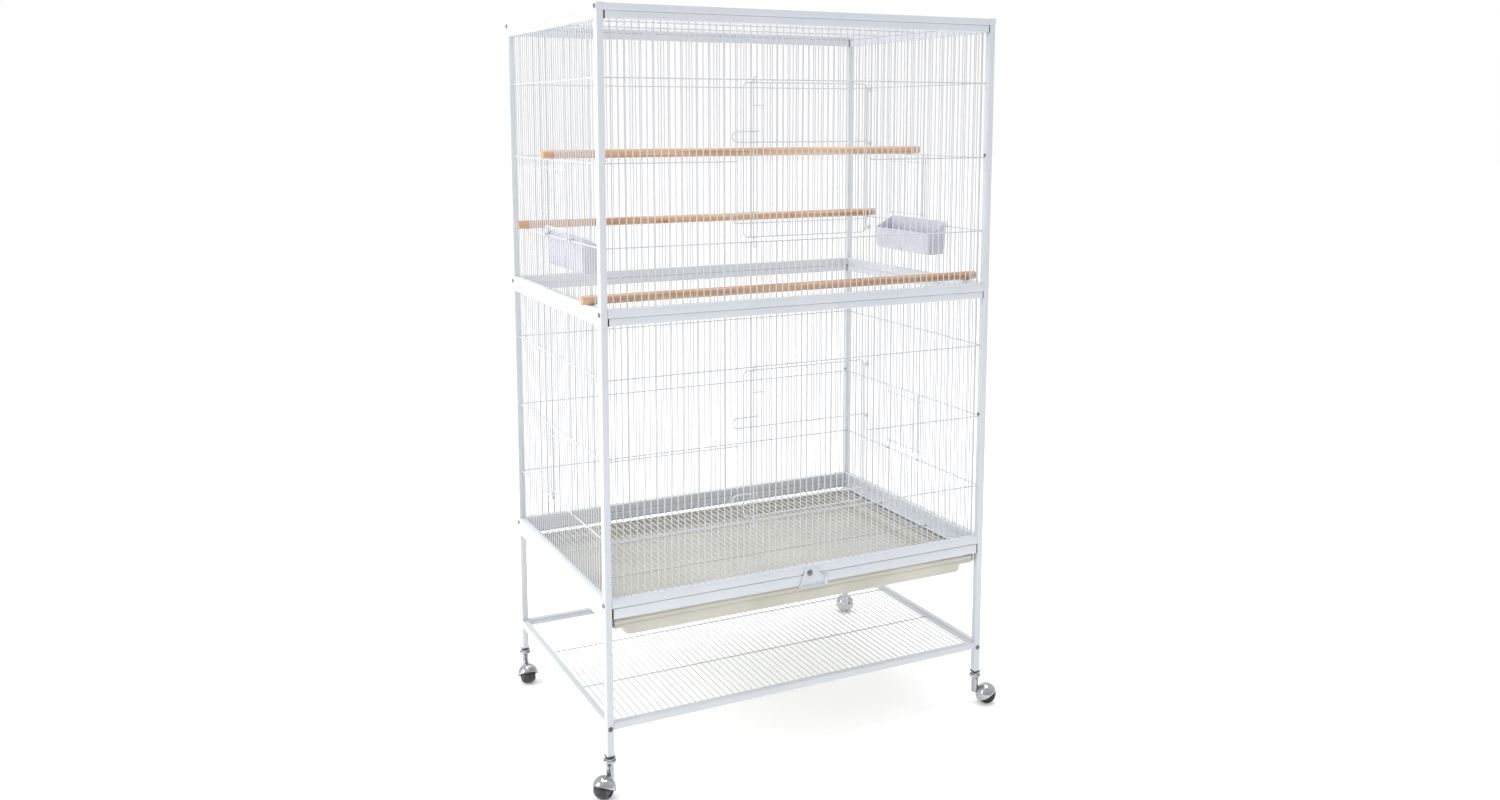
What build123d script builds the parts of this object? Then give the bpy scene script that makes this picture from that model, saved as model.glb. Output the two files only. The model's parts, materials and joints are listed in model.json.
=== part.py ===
from build123d import *
from math import cos, radians, sin
import os

# Flight cage for birds on a rolling stand, in millimetres.
# Origin: middle of the footprint at floor level. +X right, +Y back, +Z up, doors on the -Y side.

# ---- overall sizes ----
WIDTH = 787.0
DEPTH = 521.0
CASTER_HEIGHT = 68.0
SHELF_BOTTOM = 115.0
BASE_BOTTOM = 314.0
TIER_HEIGHT = 500.5

# ---- frame tube ----
TUBE = 13.0
TUBE_WALL = 1.0
CAP_T = 2.0
CAP_INSERT = 8.0
LOW_RAIL = 16.0
BASE_RAIL = 18.0
SLIDE_GAP = 0.3

# ---- wire ----
PITCH = 12.7
UPRIGHT_D = 2.0
CROSS_D = 2.5
FIELD_INSET = 7.5
CROSS_STEP = 139.5
CROSS_ABOVE_RAIL = 99.5

# ---- front doors ----
DOOR_LEFT_PITCHES = 11
DOOR_RIGHT_PITCHES = 10
DOOR_HINGE_OFFSET = 8.0
DOOR_LATCH_SIDE_GAP = 11.7
DOOR_TOP_GAP = 5.0
DOOR_BOTTOM_GAP = 9.0
DOOR_CORNER = 9.0
HANDLE_ABOVE_DOOR_FOOT = (24.5, 163.5)
HANDLE_RISE = 18.5
HANDLE_REACH = 22.0
HANDLE_RETURN = 28.0
LATCH_FROM_EDGE = 17.0
LATCH_SLACK = 0.05
LATCH_HOOK_WIDTH = 6.0
LATCH_HOOK_HEIGHT = 8.0
LATCH_BELOW_FOOT = 17.5
LATCH_TOP_ABOVE = 10.0
THUMB_DROP = 39.0
THUMB_REACH = 20.0
THUMB_TIP = 4.5
EYE_WALL = 1.3
EYE_HEIGHT = 4.0
HINGE_LOOP_HEIGHT = 9.0

# ---- small side doors ----
SMALL_NEAR_PITCHES = 7
SMALL_FAR_PITCHES = 3
SMALL_FOOT = 17.0
SMALL_HEIGHT = 106.5
SMALL_WIRE_END = 6.5
SMALL_TOP_END = 13.0
SMALL_LOOP_WIDTH = 3.5

# ---- runners, grille and tray ----
RUNNER_WALL = 1.2
TRAY_LEDGE = 16.0
GRILLE_LEDGE = 8.0
GRILLE_DROP = 12.0
RUNNER_DROP = 2.0
TRAY_DROP = 4.0
TRAY_LIP = 15.0
TRAY_BASIN = 17.0
TRAY_WALL = 2.5
TRAY_SIDE_GAP = 6.0
TRAY_SHIFT = -3.0
TRAY_STEP = 20.3
TRAY_CORNER = 14.0
TRAY_FRONT_INSET = 2.5
TRAY_BACK_GAP = 2.5

# ---- turn latch on the grille bar ----
LATCH_PIVOT_X = 2.0
LATCH_PIVOT_RISE = 4.0
EAR_WIDTH = 22.0
EAR_RISE = 13.0
PLATE_T = 1.2
PLATE_DROP = 3.5
PLATE_RISE = 17.0
PLATE_LEFT = -20.0
PLATE_RIGHT = 40.0
PLATE_SHOULDER = 8.0
PLATE_SLOPE = 12.0
PLATE_CROWN = 6.0
PLATE_LIP = 4.0
PLATE_LIP_INSET = 3.0
PLATE_TAB_WIDTH = 6.0
PLATE_TAB_MIDDLE = 5.0
PLATE_TAB_HEIGHT = 14.0
PLATE_GAP = 0.3

# ---- screws ----
SCREW_R = 2.0
SCREW_HEAD_R = 4.6
PANEL_SCREW_HEAD_R = 3.2
SHELF_SCREW_DROP = 4.0
SCREW_HEAD_H = 2.6
SCREW_SHANK = 4.5
SCREW_CLEAR = 0.1
SCREW_SLOT = 0.8
SCREW_SLOT_DEPTH = 0.6
LATCH_SCREW_HEAD_R = 5.6
CORNER_SCREW_RISE = 6.5
JOINER_GAP = 0.2
JOINER_HALF = 20.0

# ---- casters ----
WHEEL_R = 19.5
WHEEL_HALF = 13.0
HOOD_GAP = 0.7
HOOD_WALL = 1.3
TRAIL = 23.0
STEM_R = 3.5
STEM_FIT = 0.06
SOCKET_R = 7.0
SOCKET_TOP = 61.0
SWIVEL_R = 11.5
SWIVEL_H = 8.5
SOCKET_BOTTOM = 27.0
STEM_BOTTOM = 45.0
WASHER_R = 8.5
WASHER_T = 2.0
PLUG_FLANGE = 2.0
PLUG_SIDE = 15.0
PLUG_DEPTH = 25.0
STEM_TOP_GAP = 2.0
AXLE_R = 1.95
AXLE_END_GAP = 0.4
HOOD_CUT = -1.0
HOOD_LEAN = radians(33.0)
CASTER_TURN = {"front_left": 222.0, "front_right": -29.0, "back_left": 265.0, "back_right": 60.0}

# ---- perches and cups ----
PERCH_D = 16.0
PERCH_OVERHANG = 11.5
PERCH_SLIT = 2.8
PERCH_SLIT_ROOT = 2.0
PERCH_REST = 0.3
PERCH_CHAMFER = 0.8
CUP_MIDDLE = -38.0
CUP_DROP = 56.0
CUP_BACK = 67.0
CUP_FRONT = 43.0
CUP_OUT = 46.0
CUP_LENGTH = 198.0
CUP_WALL = 2.0
CUP_WIRE_GAP = 4.5
CUP_HOOK_STEPS = {"left": (-7, 4), "right": (-9, -4)}
CUP_HOOK_WIDTH = 7.0
CUP_HOOK_WALL = 2.2
CUP_HOOK_DROP = 4.5
CUP_CORNER = 5.0

# ---- worked-out levels and places ----
HALF_W = WIDTH / 2
HALF_D = DEPTH / 2
POST_X = HALF_W - TUBE / 2
POST_Y = HALF_D - TUBE / 2
IN_X = HALF_W - TUBE
IN_Y = HALF_D - TUBE
JOINER = TUBE - 2 * TUBE_WALL - 2 * JOINER_GAP
BASE_TOP = BASE_BOTTOM + BASE_RAIL
GRILLE_TOP = BASE_TOP - GRILLE_DROP
RUNNER_TOP = BASE_TOP - RUNNER_DROP
TRAY_RIM_TOP = BASE_BOTTOM - TRAY_DROP
TRAY_LIP_BOTTOM = TRAY_RIM_TOP - TRAY_LIP
TRAY_BOTTOM = TRAY_LIP_BOTTOM - TRAY_BASIN
LATCH_PIVOT_Z = BASE_TOP + LATCH_PIVOT_RISE
EAR_TOP = BASE_TOP + EAR_RISE
PLATE_BOTTOM = BASE_BOTTOM - PLATE_DROP
PLATE_TOP = BASE_TOP + PLATE_RISE
TIERS = {"lower": BASE_TOP, "upper": BASE_TOP + TIER_HEIGHT}
CAGE_TOP = BASE_TOP + 2 * TIER_HEIGHT
HEIGHT = CAGE_TOP + TUBE
FIELD_X = HALF_W - FIELD_INSET
FIELD_Y = HALF_D - FIELD_INSET
UPRIGHT_R = UPRIGHT_D / 2
CROSS_R = CROSS_D / 2
GRILLE_EDGE = IN_X - RUNNER_WALL - 2 * SLIDE_GAP
FRONT_STEPS = int((GRILLE_EDGE - UPRIGHT_D) / PITCH)
SIDE_STEPS = int((IN_Y - UPRIGHT_D - PITCH / 2) / PITCH)
FRONT_UPRIGHTS = [PITCH * k for k in range(-FRONT_STEPS, FRONT_STEPS + 1)]
SIDE_UPRIGHTS = [PITCH * (k + 0.5) for k in range(-SIDE_STEPS - 1, SIDE_STEPS + 1)]
DOOR_LEFT_WIRE = -PITCH * DOOR_LEFT_PITCHES
DOOR_RIGHT_WIRE = PITCH * DOOR_RIGHT_PITCHES
DOOR_LEFT_EDGE = DOOR_LEFT_WIRE + DOOR_LATCH_SIDE_GAP
LATCH_X = DOOR_LEFT_EDGE + LATCH_FROM_EDGE
CORNERS = {
    "front_left": (-1, -1),
    "front_right": (1, -1),
    "back_left": (-1, 1),
    "back_right": (1, 1),
}


def cross_levels(floor):
    """Heights of the three cross wires of a tier that starts at floor."""
    first = floor + LOW_RAIL + CROSS_ABOVE_RAIL
    return [first + CROSS_STEP * k for k in range(3)]


def small_door_span(side):
    """The two guide wires of the small door on side -1 (left) or 1 (right), low to high Y."""
    near = -PITCH * (SMALL_NEAR_PITCHES - 0.5)
    far = PITCH * (SMALL_FAR_PITCHES + 0.5)
    return (near, far) if side < 0 else (-far, -near)


def block(x, y, z):
    """A box from three (low, high) pairs."""
    size = (x[1] - x[0], y[1] - y[0], z[1] - z[0])
    middle = (sum(x) / 2, sum(y) / 2, sum(z) / 2)
    return Pos(*middle) * Box(*size)


def span(middle, size):
    return (middle - size / 2, middle + size / 2)


def tube(x, y, z, along):
    """An open-ended square tube that fills the given spans and runs along axis 0, 1 or 2."""
    inner = [(low + TUBE_WALL, high - TUBE_WALL) for low, high in (x, y, z)]
    low, high = (x, y, z)[along]
    inner[along] = (low - 1, high + 1)
    return block(x, y, z) - block(*inner)


def rod(start, direction, radius, length):
    """A round rod from start along direction."""
    plane = Plane(origin=start, z_dir=direction)
    return plane * Cylinder(radius, length, align=(Align.CENTER, Align.CENTER, Align.MIN))


def weld(pieces):
    """Join pieces that overlap or touch into one solid."""
    joined = pieces[0]
    for piece in pieces[1:]:
        joined = joined + piece
    solids = joined.solids()
    assert len(solids) == 1, f"weld left {len(solids)} solids"
    return solids[0]


def save(node, solids):
    """Write one sub-part; several solids stay separate."""
    solids = [solid for piece in solids for solid in piece.solids()]
    shape = solids[0] if len(solids) == 1 else Compound(solids)
    shape.label = node
    export_step(shape, f"parts/{node}.step")


# ---- wire fields ----

def teeth(uprights, edge, tip, step):
    """Corner points along one long edge of a field, with a tooth out to tip at each upright."""
    points = []
    for u in uprights[::step]:
        sides = (u - step * UPRIGHT_R, u + step * UPRIGHT_R)
        points += [(sides[0], edge), (sides[0], tip), (sides[1], tip), (sides[1], edge)]
    return points


def notches(levels, rim, edge):
    """Corner points up one short edge of a field, in to the last upright between cross wires."""
    points = []
    for low, high in zip(levels, levels[1:]):
        points += [(edge, low + CROSS_R), (rim, low + CROSS_R), (rim, high - CROSS_R), (edge, high - CROSS_R)]
    return points


def wire_field(uprights, levels, across, rise):
    """A flat field of welded wires: uprights over the rise span, cross wires over the across span."""
    bottom = levels[0] - CROSS_R
    top = levels[-1] + CROSS_R
    outline = [(across[0], bottom)]
    if rise[0] < bottom:
        outline += teeth(uprights, bottom, rise[0], 1)
    outline.append((across[1], bottom))
    if across[1] > uprights[-1] + UPRIGHT_D:
        outline += notches(levels, uprights[-1] + UPRIGHT_R, across[1])
    outline.append((across[1], top))
    if rise[1] > top:
        outline += teeth(uprights, top, rise[1], -1)
    outline.append((across[0], top))
    if across[0] < uprights[0] - UPRIGHT_D:
        left = notches(levels, uprights[0] - UPRIGHT_R, across[0])
        outline += left[::-1]
    corners = [p for k, p in enumerate(outline) if p != outline[k - 1]]
    holes = []
    for low, high in zip(levels, levels[1:]):
        for left, right in zip(uprights, uprights[1:]):
            u = (left + UPRIGHT_R, right - UPRIGHT_R)
            w = (low + CROSS_R, high - CROSS_R)
            holes.append(Wire.make_polygon([(u[0], w[0]), (u[1], w[0]), (u[1], w[1]), (u[0], w[1])], close=True))
    face = Face(Wire.make_polygon(corners, close=True), holes)
    return extrude(face, amount=UPRIGHT_R, both=True)


def upright_plane(y):
    """Plane for a front or back field: local x along X, local y up."""
    return Plane(origin=(0, y, 0), x_dir=(1, 0, 0), z_dir=(0, -1, 0))


def side_plane(x):
    """Plane for a side field: local x along Y, local y up."""
    return Plane(origin=(x, 0, 0), x_dir=(0, 1, 0), z_dir=(1, 0, 0))


def fields_round_opening(uprights, levels, across, rise, opening):
    """The same field as four flat pieces round an opening between two uprights and two cross wires."""
    left, right, low, high = opening
    before = [u for u in uprights if u < left + UPRIGHT_R]
    within = [u for u in uprights if left + UPRIGHT_R < u < right - UPRIGHT_R]
    after = [u for u in uprights if u > right - UPRIGHT_R]
    middle = (left + UPRIGHT_R, right - UPRIGHT_R)
    above = [w for w in levels if w >= high]
    return [
        wire_field(before, levels, (across[0], left + UPRIGHT_R), rise),
        wire_field(after, levels, (right - UPRIGHT_R, across[1]), rise),
        wire_field(within, [low], middle, (rise[0], low + CROSS_R)),
        wire_field(within, above, middle, (high - CROSS_R, rise[1])),
    ]


# ---- screws ----

def screw(place, outward, head_r=SCREW_HEAD_R):
    """A domed screw whose head sits on a tube face at place and whose shank points inward."""
    inward = tuple(-a for a in outward)
    plane = Plane(origin=place, z_dir=outward)
    dome_r = (head_r ** 2 + SCREW_HEAD_H ** 2) / (2 * SCREW_HEAD_H)
    dome = Pos(0, 0, SCREW_HEAD_H - dome_r) * Sphere(dome_r)
    head = dome & Pos(0, 0, SCREW_HEAD_H) * Box(4 * head_r, 4 * head_r, 2 * SCREW_HEAD_H)
    slot = Pos(0, 0, SCREW_HEAD_H) * Box(head_r, SCREW_SLOT, 2 * SCREW_SLOT_DEPTH)
    slot += Pos(0, 0, SCREW_HEAD_H) * Box(SCREW_SLOT, head_r, 2 * SCREW_SLOT_DEPTH)
    return weld([plane * (head - slot), rod(place, inward, SCREW_R, SCREW_SHANK)])


def drill(solid, screws):
    """Clearance holes for the given screws."""
    for place, outward in screws:
        inward = tuple(-a for a in outward)
        start = tuple(p + a for p, a in zip(place, outward))
        solid = solid - rod(start, inward, SCREW_R + SCREW_CLEAR, SCREW_SHANK + 1 + SCREW_CLEAR)
    return solid


def corner_screw_places(level):
    return [((sx * HALF_W, sy * POST_Y, level), (sx, 0, 0)) for sx, sy in CORNERS.values()]


def panel_screw_places(floor):
    """Screws on the posts' inner faces, just above the ends of the middle cross wires."""
    level = cross_levels(floor)[1] + CROSS_R + SLIDE_GAP + PANEL_SCREW_HEAD_R
    return [((sx * IN_X, sy * POST_Y, level), (-sx, 0, 0)) for sx, sy in CORNERS.values()]


def shelf_screw_places():
    level = SHELF_BOTTOM + TUBE / 2 - SHELF_SCREW_DROP
    return [((sx * POST_X, sy * HALF_D, level), (0, sy, 0)) for sx, sy in CORNERS.values()]


CORNER_SCREWS = {
    "lower": corner_screw_places(BASE_TOP + CORNER_SCREW_RISE),
    "upper": corner_screw_places(TIERS["upper"] + CORNER_SCREW_RISE),
    "top": corner_screw_places(CAGE_TOP + TUBE / 2),
}


# ---- stand ----

def make_legs():
    for name, (sx, sy) in CORNERS.items():
        leg = tube(span(sx * POST_X, TUBE), span(sy * POST_Y, TUBE), (CASTER_HEIGHT, BASE_TOP), 2)
        here = [s for s in shelf_screw_places() if s[0][0] * sx > 0 and s[0][1] * sy > 0]
        save(f"leg_{name}", [drill(leg, here)])


def make_shelf():
    levels = (SHELF_BOTTOM, SHELF_BOTTOM + TUBE)
    rails = [tube((-IN_X, IN_X), span(s * POST_Y, TUBE), levels, 0) for s in (-1, 1)]
    rails += [tube(span(s * POST_X, TUBE), (-IN_Y, IN_Y), levels, 1) for s in (-1, 1)]
    save("shelf_frame", rails)
    thirds = [-DEPTH / 6, DEPTH / 6]
    field = wire_field(FRONT_UPRIGHTS, thirds, (-IN_X, IN_X), (-IN_Y, IN_Y))
    save("shelf_wires", [Pos(0, 0, SHELF_BOTTOM + TUBE / 2) * field])


def make_base():
    levels = (BASE_BOTTOM, BASE_TOP)
    rails = [tube((-IN_X, IN_X), span(POST_Y, TUBE), levels, 0)]
    rails += [tube(span(s * POST_X, TUBE), (-IN_Y, IN_Y), levels, 1) for s in (-1, 1)]
    save("base_frame", rails)
    runners = []
    depth = (-IN_Y, IN_Y)
    for s in (-1, 1):
        web = block(span(s * (IN_X - RUNNER_WALL / 2), RUNNER_WALL), depth, (tray_ledge_top() - RUNNER_WALL, RUNNER_TOP))
        lower = block(span(s * (IN_X - TRAY_LEDGE / 2), TRAY_LEDGE), depth,
                      (tray_ledge_top() - RUNNER_WALL, tray_ledge_top()))
        upper = block(span(s * (IN_X - GRILLE_LEDGE / 2), GRILLE_LEDGE), depth,
                      (grille_ledge_top() - RUNNER_WALL, grille_ledge_top()))
        runners.append(weld([web, lower, upper]))
    save("tray_runners", runners)


def tray_ledge_top():
    return TRAY_LIP_BOTTOM - SLIDE_GAP


def grille_ledge_top():
    return GRILLE_TOP - UPRIGHT_D - SLIDE_GAP


# ---- floor grille, tray and their latch ----

def make_grille():
    front = -HALF_D - SLIDE_GAP
    bar_back = -IN_Y - SLIDE_GAP
    back = IN_Y - 2 * SLIDE_GAP
    crosses = [-DEPTH / 6, DEPTH / 6, back - CROSS_R]
    field = wire_field(FRONT_UPRIGHTS, crosses, (-GRILLE_EDGE, GRILLE_EDGE), (bar_back, back))
    save("floor_grille", [Pos(0, 0, GRILLE_TOP - UPRIGHT_R) * field])
    low = BASE_BOTTOM
    high = BASE_TOP - SLIDE_GAP
    end = IN_X - SLIDE_GAP
    bar = tube((-end + CAP_T, end - CAP_T), (front, bar_back), (low, high), 0)
    save("grille_bar_caps", [end_cap(sx, end, (front, bar_back), (low, high)) for sx in (-1, 1)])
    ear = block(span(LATCH_PIVOT_X, EAR_WIDTH), (front - PLATE_T, front), (low + TUBE_WALL, EAR_TOP))
    pivot = rod((LATCH_PIVOT_X, front + 1, LATCH_PIVOT_Z), (0, -1, 0), SCREW_R + SCREW_CLEAR, 10)
    save("grille_bar", [weld([bar, ear]) - pivot])
    plate_back = front - PLATE_T - PLATE_GAP
    plate_front = plate_back - PLATE_T
    outline = Polyline(
        (PLATE_LEFT, PLATE_BOTTOM),
        (PLATE_RIGHT, PLATE_BOTTOM),
        (PLATE_RIGHT, LATCH_PIVOT_Z - PLATE_SHOULDER),
        (PLATE_RIGHT - PLATE_SLOPE, LATCH_PIVOT_Z - PLATE_SHOULDER),
        (LATCH_PIVOT_X + PLATE_SLOPE, PLATE_TOP - PLATE_CROWN),
        (LATCH_PIVOT_X + PLATE_CROWN, PLATE_TOP),
        (LATCH_PIVOT_X - PLATE_CROWN, PLATE_TOP),
        close=True,
    )
    sheet = extrude(make_face(outline), amount=PLATE_T)
    plate = upright_plane(plate_back) * sheet
    forward = (plate_front - PLATE_LIP, plate_front)
    lip = block((PLATE_LEFT + PLATE_LIP_INSET, PLATE_RIGHT), forward, (PLATE_BOTTOM, PLATE_BOTTOM + PLATE_T))
    tab = block(span(PLATE_RIGHT - PLATE_TAB_MIDDLE, PLATE_TAB_WIDTH), forward,
                (PLATE_BOTTOM + PLATE_T, PLATE_BOTTOM + PLATE_TAB_HEIGHT))
    plate = weld([plate, lip, tab])
    save("grille_latch", [plate - pivot])
    head_back = plate_front - PLATE_GAP
    head = rod((LATCH_PIVOT_X, head_back, LATCH_PIVOT_Z), (0, -1, 0), LATCH_SCREW_HEAD_R, SCREW_HEAD_H)
    head = fillet(head.edges().sort_by(Axis.Y)[0], SCREW_HEAD_H / 2)
    slot = block(span(LATCH_PIVOT_X, SCREW_HEAD_R), span(head_back - SCREW_HEAD_H, 2 * SCREW_SLOT_DEPTH),
                 span(LATCH_PIVOT_Z, SCREW_SLOT))
    shank = rod((LATCH_PIVOT_X, head_back, LATCH_PIVOT_Z), (0, 1, 0), SCREW_R, head_back * -1 - HALF_D - SLIDE_GAP)
    save("latch_screw", [weld([head - slot, shank])])


def make_tray():
    half = IN_X - RUNNER_WALL - TRAY_SIDE_GAP
    front = -HALF_D + TRAY_FRONT_INSET
    back = IN_Y - TRAY_BACK_GAP
    rim = block((-half, half), (front, back), (TRAY_LIP_BOTTOM, TRAY_RIM_TOP))
    basin_x = half - TRAY_STEP
    basin_y = (front + TRAY_WALL / 2, back - 2 * TRAY_WALL)
    basin = block((-basin_x, basin_x), basin_y, (TRAY_BOTTOM, TRAY_LIP_BOTTOM + TRAY_WALL))
    basin = fillet(basin.edges().filter_by(Axis.Z), TRAY_CORNER)
    basin = fillet(basin.faces().sort_by(Axis.Z)[0].edges(), TRAY_CORNER / 2)
    outside = rim + basin
    hollow_rim = block((-half + TRAY_WALL, half - TRAY_WALL), (front + TRAY_WALL, back - TRAY_WALL),
                       (TRAY_LIP_BOTTOM + TRAY_WALL, TRAY_RIM_TOP + 1))
    hollow_x = basin_x - TRAY_WALL
    hollow_y = (basin_y[0] + TRAY_WALL, basin_y[1] - TRAY_WALL)
    hollow = block((-hollow_x, hollow_x), hollow_y, (TRAY_BOTTOM + TRAY_WALL, TRAY_LIP_BOTTOM + 2 * TRAY_WALL))
    hollow = fillet(hollow.edges().filter_by(Axis.Z), TRAY_CORNER - TRAY_WALL)
    hollow = fillet(hollow.faces().sort_by(Axis.Z)[0].edges(), TRAY_CORNER / 2 - TRAY_WALL)
    save("tray", [Pos(TRAY_SHIFT, 0, 0) * (outside - hollow_rim - hollow)])


# ---- cage panels ----

def make_side_frames():
    for tier, floor in TIERS.items():
        ceiling = floor + TIER_HEIGHT
        screws = CORNER_SCREWS[tier] + panel_screw_places(floor)
        for side, sx in (("left", -1), ("right", 1)):
            posts = []
            for sy in (-1, 1):
                post = tube(span(sx * POST_X, TUBE), span(sy * POST_Y, TUBE), (floor, ceiling), 2)
                here = [s for s in screws if s[0][0] * sx > 0 and s[0][1] * sy > 0]
                posts.append(drill(post, here))
            x = span(sx * POST_X, TUBE)
            rails = [
                tube(x, (-IN_Y, IN_Y), (floor, floor + LOW_RAIL), 1),
                tube(x, (-IN_Y, IN_Y), (ceiling - TUBE, ceiling), 1),
            ]
            save(f"{tier}_{side}_side_frame", posts + rails)
            near, far = small_door_span(sx)
            levels = cross_levels(floor)
            rise = (floor + LOW_RAIL, ceiling - TUBE)
            opening = (near, far, levels[0], levels[1])
            fields = fields_round_opening(SIDE_UPRIGHTS, levels, (-IN_Y, IN_Y), rise, opening)
            save(f"{tier}_{side}_side_wires", [side_plane(sx * FIELD_X) * field for field in fields])


def end_cap(sx, end, y, z):
    """A plate over one open end of an X tube, with a plug inside the tube."""
    skin = TUBE_WALL + JOINER_GAP
    plate = block(span(sx * (end - CAP_T / 2), CAP_T), y, z)
    plug = block(span(sx * (end - CAP_T - CAP_INSERT / 2), CAP_INSERT), (y[0] + skin, y[1] - skin),
                 (z[0] + skin, z[1] - skin))
    return weld([plate, plug])


def make_front_and_back():
    caps = []
    for tier, floor in TIERS.items():
        ceiling = floor + TIER_HEIGHT
        levels = cross_levels(floor)
        rise = (floor + LOW_RAIL, ceiling - TUBE)
        opening = (DOOR_LEFT_WIRE, DOOR_RIGHT_WIRE, levels[0], levels[2])
        wires = {
            "front": fields_round_opening(FRONT_UPRIGHTS, levels, (-IN_X, IN_X), rise, opening),
            "back": [wire_field(FRONT_UPRIGHTS, levels, (-IN_X, IN_X), rise)],
        }
        for face, sy in (("front", -1), ("back", 1)):
            y = span(sy * POST_Y, TUBE)
            top = (ceiling - TUBE, ceiling)
            rails = [
                tube((-IN_X, IN_X), y, (floor, floor + LOW_RAIL), 0),
                tube((-IN_X + CAP_T, IN_X - CAP_T), y, top, 0),
            ]
            caps += [end_cap(sx, IN_X, y, top) for sx in (-1, 1)]
            save(f"{tier}_{face}_rails", rails)
            save(f"{tier}_{face}_wires", [upright_plane(sy * FIELD_Y) * field for field in wires[face]])
    save("rail_end_caps", caps)


def make_top():
    levels = (CAGE_TOP, HEIGHT)
    sides = []
    for sx in (-1, 1):
        rail = tube(span(sx * POST_X, TUBE), (-HALF_D, HALF_D), levels, 1)
        sides.append(drill(rail, [s for s in CORNER_SCREWS["top"] if s[0][0] * sx > 0]))
    ends = [tube((-IN_X, IN_X), span(sy * POST_Y, TUBE), levels, 0) for sy in (-1, 1)]
    plugs = [
        block(span(sx * POST_X, JOINER), span(sy * (HALF_D - TUBE_WALL), 2 * TUBE_WALL),
              span(CAGE_TOP + TUBE / 2, JOINER))
        for sx, sy in CORNERS.values()
    ]
    save("top_frame", sides + ends + plugs)
    crosses = [DEPTH / 4 * k for k in (-1, 0, 1)]
    field = wire_field(FRONT_UPRIGHTS, crosses, (-IN_X, IN_X), (-IN_Y, IN_Y))
    save("top_wires", [Pos(0, 0, HEIGHT - FIELD_INSET) * field])


# ---- front doors ----

def hairpin(x_start, x_end, level, y):
    """A door wire that runs left past the frame, turns back in a U and ends above itself."""
    turn = HANDLE_RISE / 2
    left = x_end - HANDLE_REACH + turn
    path = Line((x_start, level), (left, level))
    path += CenterArc((left, level + turn), turn, 90, 180)
    path += Line((left, level + HANDLE_RISE), (x_end + HANDLE_RETURN, level + HANDLE_RISE))
    strip = trace(path, CROSS_D)
    return upright_plane(y) * extrude(strip, amount=CROSS_R, both=True)


def make_front_door(tier, floor):
    levels = cross_levels(floor)
    foot = levels[0] + DOOR_BOTTOM_GAP
    head = levels[2] - DOOR_TOP_GAP
    left = DOOR_LEFT_EDGE
    right = DOOR_RIGHT_WIRE - DOOR_HINGE_OFFSET
    size = (right - left + CROSS_D, head - foot + CROSS_D)
    middle = ((left + right) / 2, (foot + head) / 2)
    ring = RectangleRounded(*size, DOOR_CORNER)
    ring -= RectangleRounded(size[0] - 2 * CROSS_D, size[1] - 2 * CROSS_D, DOOR_CORNER - CROSS_D)
    pieces = [upright_plane(-FIELD_Y) * extrude(Pos(*middle) * ring, amount=CROSS_R, both=True)]
    uprights = [u for u in FRONT_UPRIGHTS if left + PITCH / 2 < u < right - UPRIGHT_D]
    for u in uprights:
        pieces.append(block(span(u, UPRIGHT_D), span(-FIELD_Y, CROSS_D), (foot, head)))
    pull_y = -FIELD_Y - CROSS_D
    for rise in HANDLE_ABOVE_DOOR_FOOT:
        pieces.append(hairpin(right + CROSS_R, left, foot + rise, pull_y))
    rod_y = latch_rod_y()
    for level in (foot, head):
        stalk = block(span(LATCH_X, CROSS_D), (rod_y, -FIELD_Y), span(level, CROSS_D))
        eye = rod((LATCH_X, rod_y, level - EYE_HEIGHT / 2), (0, 0, 1), CROSS_R + SLIDE_GAP + EYE_WALL, EYE_HEIGHT)
        pieces += [stalk, eye]
    pin_r = UPRIGHT_R * 2 ** 0.5 + SLIDE_GAP
    loop_r = pin_r + EYE_WALL
    loops = hinge_loop_levels(foot, head)
    for level in loops:
        arm = block((right, DOOR_RIGHT_WIRE), span(-FIELD_Y, CROSS_D), span(level, CROSS_D))
        loop = rod((DOOR_RIGHT_WIRE, -FIELD_Y, level - HINGE_LOOP_HEIGHT / 2), (0, 0, 1), loop_r, HINGE_LOOP_HEIGHT)
        pieces += [arm, loop]
    door = weld(pieces)
    for level in loops:
        door -= rod((DOOR_RIGHT_WIRE, -FIELD_Y, level - HINGE_LOOP_HEIGHT), (0, 0, 1), pin_r, 2 * HINGE_LOOP_HEIGHT)
    for level in (foot, head):
        door -= rod((LATCH_X, rod_y, level - 2 * EYE_HEIGHT), (0, 0, 1), CROSS_R + SLIDE_GAP, 4 * EYE_HEIGHT)
    save(f"{tier}_front_door", [door])


def hinge_loop_levels(foot, head):
    inset = HINGE_LOOP_HEIGHT
    return [foot + inset, (foot + head) / 2 + 3 * inset, head - inset]


def latch_rod_y():
    return -FIELD_Y - 2 * CROSS_D - SLIDE_GAP


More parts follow.
